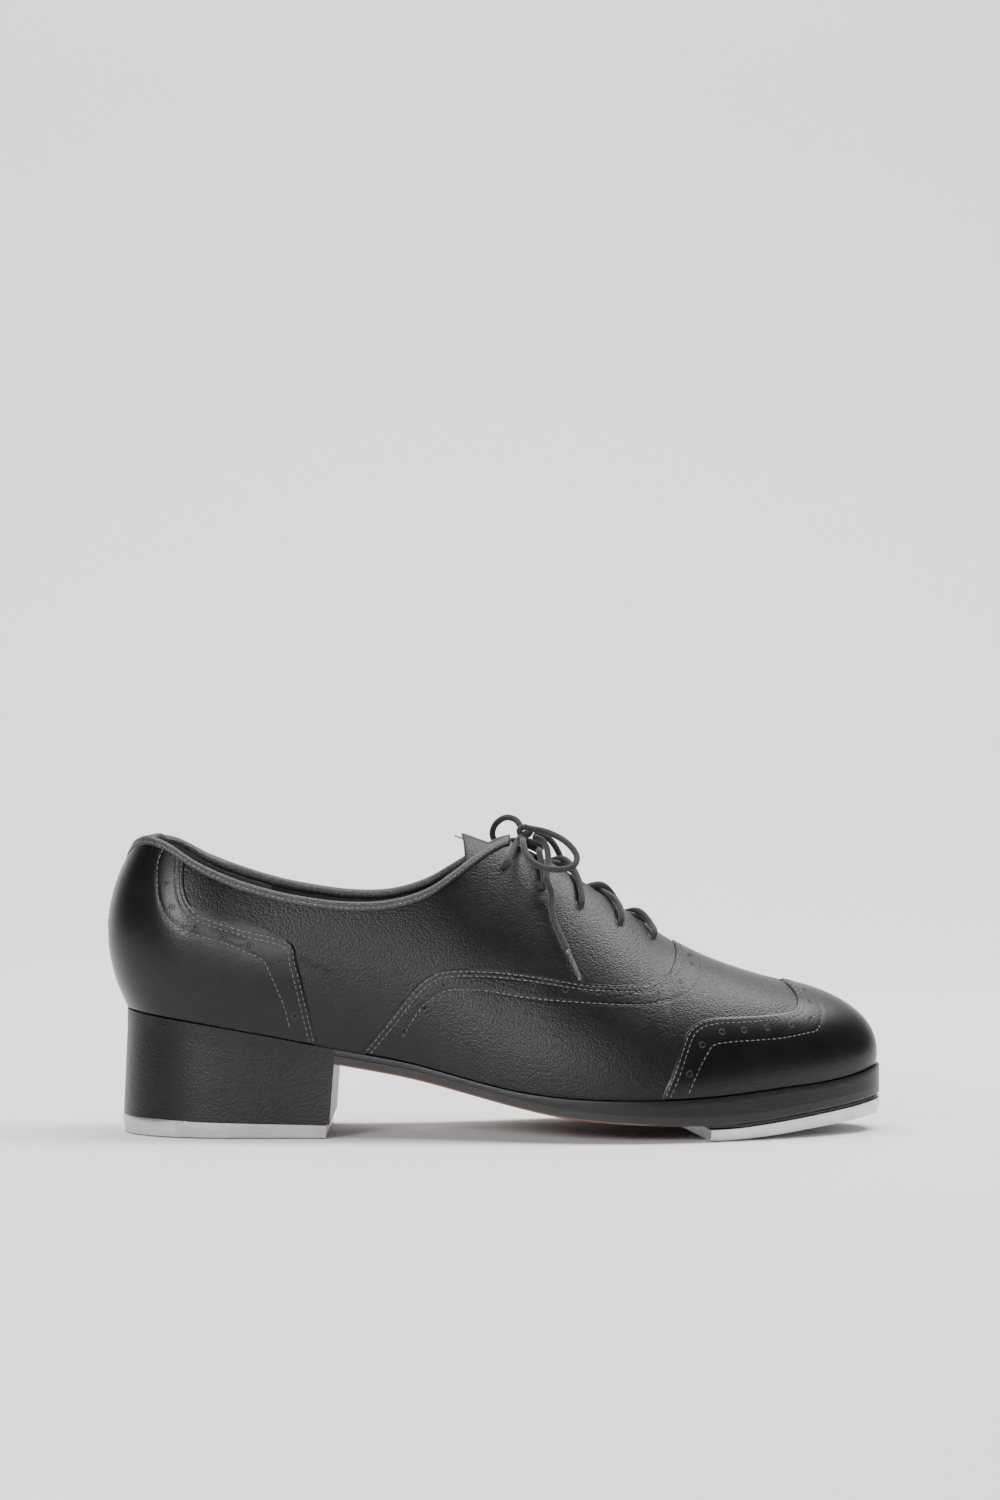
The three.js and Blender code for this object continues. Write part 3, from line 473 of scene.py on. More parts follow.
def placed(points, side):
    """(u, phi) of points given in side view: the nearest of a fine net on that half of the last, looked for
    again in ever finer nets round it."""
    points = np.asarray(points, float)
    net = SEEN[side].reshape(-1, 2)
    nearest = np.array([np.argmin(((net - p) ** 2).sum(1)) for p in points])
    u, phi = LOOK_U[nearest // len(LOOK_PHI)], LOOK_PHI[nearest % len(LOOK_PHI)]
    offsets = np.linspace(-1, 1, 13)
    for reach_u, reach_phi in ((6e-3, 9e-3), (1.2e-3, 1.8e-3), (2.4e-4, 3.6e-4)):
        near_u = np.clip(u[:, None, None] + reach_u * offsets[None, :, None], 0, 3)
        near_phi = np.clip(phi[:, None, None] + reach_phi * offsets[None, None, :], 0, math.pi / 2)
        found = last(near_u, near_phi, side)[..., [0, 2]]
        best = np.argmin(((found - points[:, None, None]) ** 2).sum(-1).reshape(len(points), -1), axis=1)
        near_u, near_phi = np.broadcast_arrays(near_u, near_phi)
        u = near_u.reshape(len(points), -1)[np.arange(len(points)), best]
        phi = near_phi.reshape(len(points), -1)[np.arange(len(points)), best]
    return np.stack([u, phi], -1)


def traced(points, side, pitch=1.2):
    """A smooth seam through side-view points, as (u, phi)."""
    return placed(smooth_path(points, pitch), side)


def level(u, height):
    """phi at which each rib of the lateral half, or of the medial half below u = 0, meets a height given
    as a function of x, found by halving."""
    low, high = np.full(np.shape(u), 0.02), np.full(np.shape(u), math.pi / 2)
    for _ in range(30):
        mid = (low + high) / 2
        point = last(u, mid)
        above = point[..., 2] > height(point[..., 0])
        low, high = np.where(above, low, mid), np.where(above, mid, high)
    return (low + high) / 2


lateral_dip = curve([
    (-140, 0), (-124, 0), (-110, 1.6), (-97, 2.6), (-77, 2.8), (-40, 2.4), (-20, 2.6), (-5, 1), (8, 0),
])


def rim_level(u, drop):
    """phi of the top edge at each rib, a drop below it: the topline, a little lower on the lateral half,
    which leaves the ankle bone free."""
    dip = np.where(np.asarray(u) > 0, 1.0, 0.0)
    return level(u, lambda x: topline(np.minimum(x, 8)) - dip * lateral_dip(np.minimum(x, 8)) - drop)


def facing_phi(u, half_gap, side):
    """phi at which each rib comes within half the facings' gap of the ridge."""
    low, high = np.full(np.shape(u), 0.6), np.full(np.shape(u), math.pi / 2)
    for _ in range(30):
        mid = (low + high) / 2
        point = last(u, mid, side)
        outside = np.abs(point[..., 1] - middle(30)) > half_gap(point[..., 0])
        low, high = np.where(outside, mid, low), np.where(outside, high, mid)
    return (low + high) / 2


def from_x(x):
    """u of a rib on the straight side from its place along the shoe."""
    return 1 + (np.asarray(x, float) - HEEL_X) / RIB_RUN


FACING_GAP = curve([(-8, 9), (3, 7.5), (62, 2.2), (68, 0.8)])
FACING_TOP_X = -8


def upper_edge(side, rear_u, front_x, drop):
    """The free edge of the rear of the upper from rear_u forward: a drop below the topline, and from the
    top of the facings down beside their gap."""
    at_top = np.linspace(rear_u, from_x(7.0), 220)
    topped = rim_level(at_top if side == LATERAL else -at_top, drop)
    gap_u = np.linspace(from_x(FACING_TOP_X), from_x(front_x), 200)
    gapped = facing_phi(gap_u, FACING_GAP, side)
    crossing = np.interp(at_top, gap_u, gapped, left=9, right=9)
    kept = topped < crossing
    last_kept = at_top[kept][-1]
    u = np.concatenate([at_top[kept], gap_u[gap_u > last_kept]])
    phi = np.concatenate([topped[kept], gapped[gap_u > last_kept]])
    return np.stack([u, phi], -1)


def steps(length, pitch, rim=0.35):
    """Shares from 0 to 1 about a pitch apart, closer at both ends where an edge is rounded."""
    inner = np.linspace(0, 1, max(int(length / pitch), 3) + 1)[1:-1]
    ends = np.array([0, rim, 2.6 * rim]) / length
    inner = inner[(inner > ends[-1] * 1.2) & (inner < 1 - ends[-1] * 1.2)]
    return np.concatenate([ends, inner, 1 - ends[::-1]])


def patch(bottom, top, left, right, across, upward):
    """A net between four edges, each a line of (u, phi): the edges' own shapes fade into each other."""
    bottom, top = resampled(bottom, across), resampled(top, across)
    left, right = resampled(left, upward), resampled(right, upward)
    s, t = across[None, :, None], upward[:, None, None]
    ruled = (1 - t) * bottom[None] + t * top[None] + (1 - s) * left[:, None] + s * right[:, None]
    corners = (1 - t) * ((1 - s) * bottom[0] + s * bottom[-1]) + t * ((1 - s) * top[0] + s * top[-1])
    return ruled - corners


EDGE_FALL = (0.45, 0.13, 0.02)


def skin(net, depths, rounded=("left", "right", "top"), open_edges=(), extra=0.0, skirt=0.9):
    """A sheet of leather on the last: an outer and an inner face of the same net and walls round its edge.
    The outer face falls away at its rounded edges. open_edges have no wall, because they close on
    themselves. The leather hangs a little below the feather line, into the sole."""
    rows, columns = net.shape[:2]
    fall = np.zeros((rows, columns))
    rims = {"bottom": fall, "top": fall[::-1], "left": fall.T, "right": fall.T[::-1]}
    for i, amount in reversed(list(enumerate(EDGE_FALL))):
        for key in rounded:
            rims[key][i] = amount
    u, phi = net[..., 0], net[..., 1]
    outer = on_last(u, phi, depths[0] + np.minimum(fall, 0.6 * (depths[1] - depths[0])) + extra)
    inner = on_last(u, phi, np.full(u.shape, depths[1]))
    at_feather = np.minimum(phi, math.pi - phi) < 1e-3
    outer[..., 2] -= skirt * at_feather
    inner[..., 2] -= skirt * at_feather
    number = np.arange(rows * columns).reshape(rows, columns)
    rims = {"bottom": number[0], "top": number[-1], "left": number[:, 0], "right": number[:, -1]}
    offset = rows * columns
    walls = [
        np.stack([rim[:-1], rim[1:], rim[1:] + offset, rim[:-1] + offset], -1)
        for key, rim in rims.items()
        if key not in open_edges
    ]
    faces = grid_faces(rows, columns)
    points = np.concatenate([outer.reshape(-1, 3), inner.reshape(-1, 3)])
    return points, np.concatenate([faces, faces + offset, *walls])


def lining_finish():
    made, here = start_finish("lining_leather")
    pores = Term.node("TexVoronoi", {}, {"Vector": here, "Scale": 1400})
    colour = noise(here, 6, 3).ramp((0.35, 0), (0.7, 1)).between((0.012, 0.012, 0.013), (0.028, 0.028, 0.03))
    return close_finish(made, pores, 0.05, Base_Color=colour, Roughness=0.62)


LINING_LEATHER = lining_finish()
LINING = (2.5, 3.3)
LINING_SEAM = [(32.6, 14.6), (40, 40), (52, 50.5), (66, 58), (69.2, 62.5)]

seam = traced(LINING_SEAM, LATERAL)
far_seam = traced(LINING_SEAM, MEDIAL)
free_edges = {side: upper_edge(side, 0.0, 68.5, 1.2) for side in (LATERAL, MEDIAL)}
MIRROR = np.array([-1, 1])


def edge_round_heel(near, far):
    """A line from the medial front round the heel to the lateral front."""
    return np.concatenate([far[::-1] * MIRROR, near[1:]])


heel_edge = edge_round_heel(free_edges[LATERAL], free_edges[MEDIAL])
seam = np.concatenate([seam, free_edges[LATERAL][-1:]])
far_seam = np.concatenate([far_seam, free_edges[MEDIAL][-1:]])
foot_line = np.array([[-far_seam[0, 0], 0], [seam[0, 0], 0]])
quarter_lining = piece(
    "quarter_lining_leather",
    skin(patch(foot_line, heel_edge, far_seam * MIRROR, seam, steps(400, 1.6), steps(90, 1.6)), LINING),
    LINING_LEATHER,
)
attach(quarter_lining, "rear_shoe")
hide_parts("quarter_lining")
vamp_ridge = placed([(70.6, 65.6)], LATERAL)[0] * [1, 0] + [0, math.pi / 2]
toe_seam = {
    side: np.concatenate([traced(LINING_SEAM, side), [vamp_ridge]]) for side in (LATERAL, MEDIAL)
}


TOE_U = 3


def past_toe(line):
    """A line of the medial half, numbered on past the toe."""
    return line * MIRROR + [2 * TOE_U, 0]


toe_foot = np.array([[toe_seam[LATERAL][0, 0], 0], [6 - toe_seam[MEDIAL][0, 0], 0]])
toe_ridge = np.array([vamp_ridge, past_toe(vamp_ridge)])
vamp_lining = piece(
    "vamp_lining_leather",
    skin(
        patch(
            toe_foot, toe_ridge, toe_seam[LATERAL], past_toe(toe_seam[MEDIAL]),
            steps(230, 1.8), steps(70, 1.8)
        ),
        LINING,
        rounded=(),
        open_edges=("top",),
    ),
    LINING_LEATHER,
)
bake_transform(vamp_lining)
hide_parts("vamp_lining")


# Heel grip: a patch of dark suede glued inside the heel so that the foot doesn't slip, with its nap out.
def suede_finish():
    made, here = start_finish("grip_suede")
    nap = noise(here, 0.5, 4, 0.65)
    cloud = noise(here, 9, 2)
    shade = (nap * 0.6 + cloud * 0.5).ramp((0.35, 0), (0.8, 1))
    colour = shade.between((0.022, 0.022, 0.024), (0.075, 0.075, 0.08))
    return close_finish(made, nap, 0.15, Base_Color=colour, Roughness=0.9, Sheen_Weight=0.3)


GRIP_LINE = [(-73, 35.2), (-77, 55), (-80, 75), (-82.2, 88.6)]
grip_side = {side: traced(GRIP_LINE, side) for side in (LATERAL, MEDIAL)}
grip_top_u = np.linspace(-grip_side[MEDIAL][-1, 0], grip_side[LATERAL][-1, 0], 120)
grip_top = np.stack([grip_top_u, rim_level(grip_top_u, 2.2)], -1)
grip_foot = np.array([[-grip_side[MEDIAL][0, 0], 0], [grip_side[LATERAL][0, 0], 0]])
heel_grip = piece(
    "heel_grip_suede",
    skin(
        patch(
            grip_foot, grip_top, grip_side[MEDIAL] * MIRROR, grip_side[LATERAL],
            steps(150, 1.6), steps(70, 1.6)
        ),
        (3.4, 4.2),
    ),
    suede_finish(),
)
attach(heel_grip, "rear_shoe")
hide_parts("heel_grip")


# Stiffeners, shank and soundboard: fibre board and spring steel hidden between the layers, which stay as
# the frame has them and only need their own finishes.
def board_finish():
    made, here = start_finish("fibre_board")
    fibres = noise(Term.node("Mapping", {}, {"Vector": here, "Scale": (0.3, 1, 1)}), 0.9, 4)
    colour = fibres.ramp((0.3, 0), (0.75, 1)).between((0.13, 0.085, 0.05), (0.3, 0.21, 0.13))
    return close_finish(made, fibres, 0.08, Base_Color=colour, Roughness=0.85)


def steel_finish():
    made, here = start_finish("bright_steel")
    haze = noise(here, 1.5, 3)
    return close_finish(
        made, haze, 0.01, Base_Color=haze.between((0.4, 0.4, 0.41), (0.56, 0.56, 0.57)), Metallic=1.0,
        Roughness=haze * 0.2 + 0.24,
    )


FIBRE_BOARD, BRIGHT_STEEL = board_finish(), steel_finish()
NODE_FINISHES = {
    FIBRE_BOARD: ["toe_puff", "heel_counter"],
    LINING_LEATHER: ["facing_stay_lateral", "facing_stay_medial", "toe_soundboard"],
    BRIGHT_STEEL: ["shank", *(f"heel_nail_{i}" for i in range(1, 6))],
}
for finish, nodes in NODE_FINISHES.items():
    for node in nodes:
        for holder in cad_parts[node].material_slots:
            holder.material = finish


# Outer leather: black calf, grained on the quarters and vamp and polished smooth over the toe and heel.
# Vamp, toe cap and heel foxing are laid over their neighbours and sewn with double rows of thread.
def calf_finish(name, grain, gloss):
    """Calf with a pebble grain that stands this many millimetres high."""
    made, here = start_finish(name)
    wander = Term.node("Mix", {"data_type": "VECTOR"}, {0: 0.0006, 4: here, 5: Term.node(
        "TexNoise", {}, {"Vector": here, "Scale": 700.0, "Detail": 2.0}, 1)}, 1)
    pebbles = Term.node(
        "TexVoronoi", {"feature": "SMOOTH_F1"}, {"Vector": wander, "Scale": 1350, "Smoothness": 0.35}
    )
    pores = noise(here, 0.35, 3, 0.6)
    cloud = noise(here, 14, 3)
    colour = cloud.ramp((0.3, 0), (0.75, 1)).between((0.0022, 0.0022, 0.0024), (0.005, 0.005, 0.0053))
    relief = (1 - pebbles) * 0.75 + pores * 0.25
    return close_finish(
        made, relief, grain, Base_Color=colour, Roughness=cloud * 0.1 + gloss,
        Specular_IOR_Level=0.3,
    )


GRAINED_CALF = calf_finish("grained_calf", 0.15, 0.33)
POLISHED_CALF = calf_finish("polished_calf", 0.04, 0.26)
CAP_SEAM = [
    (58.5, 15), (62.6, 24.6), (64.9, 31), (67.9, 38), (71.6, 41), (77.5, 42.4), (86.4, 42.6), (98.3, 43),
    (104.5, 43.6), (107.8, 44.8), (108.7, 47.8), (107.2, 50.8), (103.9, 54.1),
]
VAMP_SEAM = [
    (-47, 30.4), (-35.8, 44), (-27.8, 54), (-21.5, 58.6), (-15, 60), (-1.6, 59.8), (11, 58.5), (23.8, 56.5),
    (32.6, 55.1), (45.3, 54.3), (54, 54.2), (58.8, 56), (62.8, 59), (64.6, 62.5), (65.4, 65.5), (64.6, 68.8),
]
FOXING_SEAM = [
    (-62.8, 33), (-66, 46.5), (-68.4, 56.5), (-70, 62.5), (-71.6, 68.6), (-89.8, 74.4), (-100.2, 77.6),
    (-105, 79.8), (-108.3, 83), (-110, 87), (-110.6, 92), (-110.2, 100.7),
]
INNER_ROWS = {
    "vamp": [
        (-33.4, 34.8), (-24.7, 47.5), (-17.5, 52.2), (-13.5, 52.7), (-1.6, 52.2), (11.1, 50.1), (32.6, 48.3),
        (49.3, 47.4), (54.8, 47.5), (65.1, 49.9), (68.7, 51.9), (72.1, 54.8), (74.2, 60.3), (74, 63.7),
    ],
    "cap": [
        (67.5, 15.7), (71.2, 23.9), (74.5, 29.9), (76.9, 33), (81.8, 33.9), (92.7, 34.4), (101.6, 34.8),
        (110.9, 36.1), (114.8, 36.9), (117, 40.5), (116.9, 43.9), (115.3, 48.6), (113, 51.3),
    ],
    "foxing": [
        (-72.4, 38), (-74.7, 46.9), (-79.5, 57.9), (-81.9, 62.6), (-86.7, 65.2), (-96.2, 69.1),
        (-103.8, 71.2),
        (-108.8, 72.9), (-115, 76.6), (-118.5, 82.1), (-119.9, 88.4), (-119.9, 97.6), (-118.1, 102.5),
    ],
}
PROUD = {"vamp": -0.12, "cap": -0.65, "foxing": -0.12, "quarter": 0.5}
LEATHER_INNER = 1.3
UNDERLAP = 1.3


def shifted(points, distance):
    """A side-view line moved sideways: ahead of it where it rises, below it where it runs forward."""
    points = np.asarray(points, float)
    way = unit(np.gradient(points, axis=0))
    return points + distance * np.stack([way[:, 1], -way[:, 0]], -1)


def matched(points, marks, counts, side):
    """A seam sampled in stretches between marked points, so that the features of two seams meet."""
    path = smooth_path(points, 0.15)
    run = run_of(path)
    at = [run[np.argmin(((path - points[m]) ** 2).sum(1))] / run[-1] for m in marks]
    ends = np.array([0.0, *at, 1.0])
    shares = np.concatenate([np.linspace(a, b, n, endpoint=False) for a, b, n in zip(ends, ends[1:], counts)])
    shares = np.concatenate([[0, 0.35 / run[-1], 0.9 / run[-1]], shares[1:], [1.0]])
    return placed(resampled(path, shares), side)


def over_ridge(near, far):
    """A lateral line and a medial one, both rising from the feather, as one line over the ridge."""
    near, far = near.copy(), far.copy()
    near[-1, 1] = far[-1, 1] = math.pi / 2
    return np.concatenate([near, (far * [1, -1] + [0, math.pi])[::-1][1:]])


def thread_row(line, side, aside, depth):
    """A row beside a line of the last, as its points. aside is millimetres ahead
    of a line that rises from the feather."""
    u, phi = line.T
    ground = on_last(u, phi, np.full(u.shape, depth), side)
    normal = unit(on_last(u, phi, np.full(u.shape, depth - 1.0), side) - ground)
    forward = unit(np.gradient(ground, axis=0))
    return ground + np.cross(normal, forward) * aside * side


def sewn(points, side):
    return traced(points, side, 0.8)


ROWS = {}
for name, points, ahead in (("vamp", VAMP_SEAM, 1), ("cap", CAP_SEAM, 1), ("foxing", FOXING_SEAM, -1)):
    ROWS[name] = []
    for side in (LATERAL, MEDIAL):
        edge, inner = sewn(points, side), sewn(INNER_ROWS[name], side)
        ROWS[name] += [thread_row(edge, side, ahead * aside, PROUD[name]) for aside in (1.1, 2.7)]
        ROWS[name].append(thread_row(inner, side, 0, PROUD[name]))


def grooves(net, rows, depth=0.16, width=0.6):
    """How far leather is drawn in along its rows of thread."""
    ground = on_last(net[..., 0], net[..., 1], np.zeros(net.shape[:2])).reshape(-1, 3)
    thread = np.concatenate([resampled(row, np.linspace(0, 1, int(run_of(row)[-1]) + 2)) for row in rows])
    nearest = np.concatenate([
        np.sqrt(((block[:, None] - thread[None]) ** 2).sum(-1).min(1)) for block in np.array_split(ground, 40)
    ])
    return depth * np.exp(-((nearest / width) ** 2)).reshape(net.shape[:2])


STRETCHES = (44, 60, 22)
vamp_rear = over_ridge(*(matched(VAMP_SEAM, (4, 11), STRETCHES, side) for side in (LATERAL, MEDIAL)))
under_cap = shifted(CAP_SEAM, UNDERLAP)
under_cap[-2:] = np.array(CAP_SEAM[-2:]) + (UNDERLAP, -0.6)
cap_rear = over_ridge(*(matched(under_cap, (4, 9), STRETCHES, side) for side in (LATERAL, MEDIAL)))
across_vamp = steps(90, 0.95)[None, :, None]
vamp_net = (1 - across_vamp) * vamp_rear[:, None] + across_vamp * cap_rear[:, None]
vamp = piece(
    "vamp_leather",
    skin(vamp_net, (PROUD["vamp"], LEATHER_INNER), ("left",), extra=grooves(vamp_net, ROWS["vamp"])),
    GRAINED_CALF,
)
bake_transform(vamp)
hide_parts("vamp")

cap_half = {side: matched(CAP_SEAM, (4,), (50, 90), side) for side in (LATERAL, MEDIAL)}
knee = 52
cap_tops = np.concatenate([cap_half[LATERAL][knee:-1], [[3, cap_half[LATERAL][-1, 1]]],
                           past_toe(cap_half[MEDIAL][knee:-1])[::-1]])
cap_foot = np.array([[cap_half[LATERAL][0, 0], 0], [6 - cap_half[MEDIAL][0, 0], 0]])
cap_net = patch(
    cap_foot, cap_tops, cap_half[LATERAL][: knee + 1], past_toe(cap_half[MEDIAL][: knee + 1]),
    steps(190, 0.95), steps(38, 0.95),
)
toe_cap = piece(
    "toe_cap_leather",
    skin(cap_net, (PROUD["cap"], LEATHER_INNER - 0.3), extra=grooves(cap_net, ROWS["cap"])),
    POLISHED_CALF,
)
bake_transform(toe_cap)
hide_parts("toe_cap")

LEATHER_DROP = 1.0
fox_side = {side: traced(FOXING_SEAM, side) for side in (LATERAL, MEDIAL)}
for side in (LATERAL, MEDIAL):
    top_u = fox_side[side][-1, 0]
    fox_side[side][-1, 1] = rim_level(np.array([-side * top_u]), LEATHER_DROP)[0]
fox_top_u = np.linspace(-fox_side[MEDIAL][-1, 0], fox_side[LATERAL][-1, 0], 160)
fox_top = np.stack([fox_top_u, rim_level(fox_top_u, LEATHER_DROP)], -1)
fox_foot = np.array([[-fox_side[MEDIAL][0, 0], 0], [fox_side[LATERAL][0, 0], 0]])
fox_net = patch(
    fox_foot, fox_top, fox_side[MEDIAL] * MIRROR, fox_side[LATERAL], steps(170, 0.95), steps(100, 0.95)
)
foxing = piece(
    "heel_foxing_leather",
    skin(fox_net, (PROUD["foxing"], LEATHER_INNER), extra=grooves(fox_net, ROWS["foxing"])),
    POLISHED_CALF,
)
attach(foxing, "rear_shoe")
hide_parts("heel_foxing")

for word, side in (("lateral", LATERAL), ("medial", MEDIAL)):
    under_vamp = shifted(VAMP_SEAM, UNDERLAP)
    seam_foot = traced(under_vamp[:12], side)
    throat = traced(under_vamp[11:15], side, 0.8)
    rear = traced(shifted(FOXING_SEAM, -UNDERLAP), side)
    rear[-1, 1] = rim_level(np.array([-side * rear[-1, 0]]), LEATHER_DROP)[0]
    free = upper_edge(side, rear[-1, 0], 66.0, LEATHER_DROP)
    low = np.concatenate([[[rear[0, 0], 0]], [[seam_foot[0, 0], 0]], seam_foot[1:]])
    front = np.concatenate([throat[:-1], free[-1:]])
    free = np.concatenate([rear[-1:], free[1:]])
    net = patch(low, free, rear, front, steps(170, 1.0), steps(75, 1.0))
    if side == MEDIAL:
        net = net * [1, -1] + [0, math.pi]
    quarter_mesh = skin(net, (PROUD["quarter"], LEATHER_INNER), ("top",))
    quarter = piece(f"quarter_{word}_leather", quarter_mesh, GRAINED_CALF)
    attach(quarter, "rear_shoe")
    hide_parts(f"quarter_{word}")


# Thread: waxed black polyester, in double rows along each overlap, single rows inside them, and a close
# row over the back seam and below the binding.
STITCH_PITCH = 2.15
stitch_ring = np.linspace(0, 2 * math.pi, 6, endpoint=False)
stitch_run = np.array([-0.78, -0.62, 0.0, 0.62, 0.78])
stitch_girth = np.array([0.0, 0.15, 0.19, 0.15, 0.0])
STITCH = np.stack(
    [
        np.repeat(stitch_run, 6),
        (stitch_girth[:, None] * np.cos(stitch_ring)).ravel(),
        (stitch_girth[:, None] * np.sin(stitch_ring)).ravel(),
    ],
    -1,
)
STITCH_FACES = grid_faces(5, 6, wrap=True)


def stitches(rows, lift=0.05, pitch=STITCH_PITCH, size=1.0):
    """One small lens-shaped stitch every pitch along rows of points, laid along the row. lift is not used."""
    spots, ways = [], []
    for row in rows:
        run = run_of(row)
        at = np.arange(pitch, run[-1] - 0.5 * pitch, pitch) / run[-1]
        spots.append(resampled(row, at))
        ways.append(unit(resampled(row, at + 0.2 / run[-1]) - resampled(row, at - 0.2 / run[-1])))
    spots, ways = np.concatenate(spots), np.concatenate(ways)
    second = unit(np.cross(ways, [0.02, 0.03, 1.0]))
    third = np.cross(ways, second)
    body = STITCH * size
    points = (
        spots[:, None]
        + body[None, :, :1] * ways[:, None]
        + body[None, :, 1:2] * second[:, None]
        + body[None, :, 2:] * third[:, None]
    )
    starts = np.arange(len(spots))[:, None, None] * len(STITCH)
    return points.reshape(-1, 3), (STITCH_FACES[None] + starts).reshape(-1, 4)


def thread_finish():
    made, here = start_finish("waxed_thread")
    ply_and_glints = noise(here, 0.4, 2)
    # Noise flecks run from near black to light grey: the lighter flecks are painted glints on the black
    # thread.
    colour = ply_and_glints.ramp((0.35, 0), (0.7, 1)).between((0.03, 0.03, 0.032), (0.2, 0.2, 0.205))
    return close_finish(made, ply_and_glints, 0.05, Base_Color=colour, Roughness=0.36)


WAXED_THREAD = thread_finish()
for name, body in (("vamp", None), ("cap", None), ("foxing", "rear_shoe")):
    seam_thread = piece(f"{name}_stitching", stitches(ROWS[name]), WAXED_THREAD, sharp=180)
    if body:
        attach(seam_thread, body)
    else:
        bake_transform(seam_thread)

back_phi = np.linspace(0.14, rim_level(np.array([0.0]), 4.5)[0], 200)
back_depth = np.full(200, PROUD["foxing"] - 0.02)
back_rows = [on_last(np.full(200, u), back_phi, back_depth) for u in (0.018, -0.018)]
back_thread = piece("back_seam_stitching", stitches(back_rows, pitch=2.0, size=1.25), WAXED_THREAD, sharp=180)
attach(back_thread, "rear_shoe")


# Topline binding: a folded strip of soft leather rolled over the top edge of leather, lining and grip, and
# sewn through near its lower edge.
BINDING_FRONT_X = 5.5
ROLL = [  # drop below the topline, depth below the outer face
    (3.5, 0.4), (3.45, -0.1), (3.1, -0.35), (2.2, -0.42), (1.2, -0.42), (0.5, -0.1), (0.1, 0.6), (-0.05, 1.5),
    (0.0, 2.5), (0.25, 3.3), (0.8, 3.85), (1.6, 4.05), (2.4, 3.9), (2.8, 3.5), (2.5, 2.0),
]
roll_drop, roll_depth = np.array(ROLL).T
binding_u = np.linspace(-from_x(BINDING_FRONT_X), from_x(BINDING_FRONT_X), 460)
roll_phi = np.stack([rim_level(binding_u, d) for d in roll_drop], -1)
roll_points = on_last(binding_u[:, None], roll_phi, roll_depth[None])
roll_end = roll_points[[0, -1]].mean(1, keepdims=True)
roll_rings = np.concatenate([
    roll_end[:1] + 0 * roll_points[:1], roll_points, roll_end[1:] + 0 * roll_points[:1],
])


def binding_finish():
    made, here = start_finish("binding_leather")
    weave = noise(here, 0.6, 3, 0.65)
    colour = weave.ramp((0.45, 0), (0.72, 1)).between((0.009, 0.009, 0.0095), (0.075, 0.075, 0.078))
    return close_finish(made, weave, 0.2, Base_Color=colour, Roughness=0.5)


binding = piece(
    "topline_binding_roll",
    (roll_rings.reshape(-1, 3), grid_faces(len(roll_rings), len(ROLL), wrap=True)),
    binding_finish(),
    sharp=180,
)
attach(binding, "rear_shoe")
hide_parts("topline_binding")
bound_phi = rim_level(binding_u, 2.5)
binding_thread = piece(
    "binding_stitching",
    stitches([on_last(binding_u, bound_phi, np.full(binding_u.shape, -0.42))], pitch=1.9),
    WAXED_THREAD,
    sharp=180,
)
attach(binding_thread, "rear_shoe")


# Tongue: one soft piece of calf that lies on the instep under the facings, with a woven tag under its top.
TONGUE = (6.5, 7.7)
TONGUE_ENDS = (2.04, 1.556)
TONGUE_RISE = 0.36
TONGUE_STRAIGHT_U = 1.645
TONGUE_EDGE_ANGLE = 0.9


def on_tongue(u, across, depth):
    """A point of the tongue: ribs under the facings, then straight on up and back above the last of them.
    across runs from -1 at the lateral edge to 1 at the medial one."""
    u, across = np.broadcast_arrays(u, across)
    phi = math.pi / 2 - np.abs(across) * (math.pi / 2 - TONGUE_EDGE_ANGLE)
    side = np.where(across < 0, LATERAL, MEDIAL)
    beyond = np.maximum(TONGUE_STRAIGHT_U - u, 0) * RIB_RUN
    ground = on_last(np.maximum(u, TONGUE_STRAIGHT_U), phi, np.broadcast_to(depth, u.shape), side)
    return ground + np.stack([-beyond, 0 * beyond, TONGUE_RISE * beyond], -1)


tongue_along = TONGUE_ENDS[0] + (TONGUE_ENDS[1] - TONGUE_ENDS[0]) * steps(95, 1.2)[:, None]
tongue_across = 2 * steps(52, 1.2)[None] - 1
tongue_fall = np.zeros((tongue_along.size, tongue_across.size))
for i, amount in reversed(list(enumerate(EDGE_FALL))):
    tongue_fall[[i, -1 - i]] = amount
    tongue_fall[:, [i, -1 - i]] = amount
tongue_top = on_tongue(tongue_along, tongue_across, TONGUE[0] + tongue_fall)
tongue_under = on_tongue(tongue_along, tongue_across, TONGUE[1] - tongue_fall)


def closed_sheet(outer, inner):
    """Two faces of a sheet joined round their edge."""
    rows, columns = outer.shape[:2]
    number = np.arange(rows * columns).reshape(rows, columns)
    offset = rows * columns
    rims = [number[0], number[-1], number[:, 0], number[:, -1]]
    walls = [np.stack([r[:-1], r[1:], r[1:] + offset, r[:-1] + offset], -1) for r in rims]
    faces = grid_faces(rows, columns)
    points = np.concatenate([outer.reshape(-1, 3), inner.reshape(-1, 3)])
    return points, np.concatenate([faces, faces + offset, *walls])


tongue = piece("tongue_leather", closed_sheet(tongue_top, tongue_under), GRAINED_CALF)
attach(tongue, "tongue")
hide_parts("tongue")


def tag_finish():
    made, here = start_finish("woven_tag")
    ribs = Term.node("TexWave", {"bands_direction": "X"}, {"Vector": here, "Scale": 420.0, "Distortion": 0.6})
    colour = noise(here, 0.7, 3).ramp((0.3, 0), (0.7, 1)).between((0.09, 0.09, 0.095), (0.34, 0.34, 0.35))
    return close_finish(made, ribs, 0.08, Base_Color=colour, Roughness=0.55)


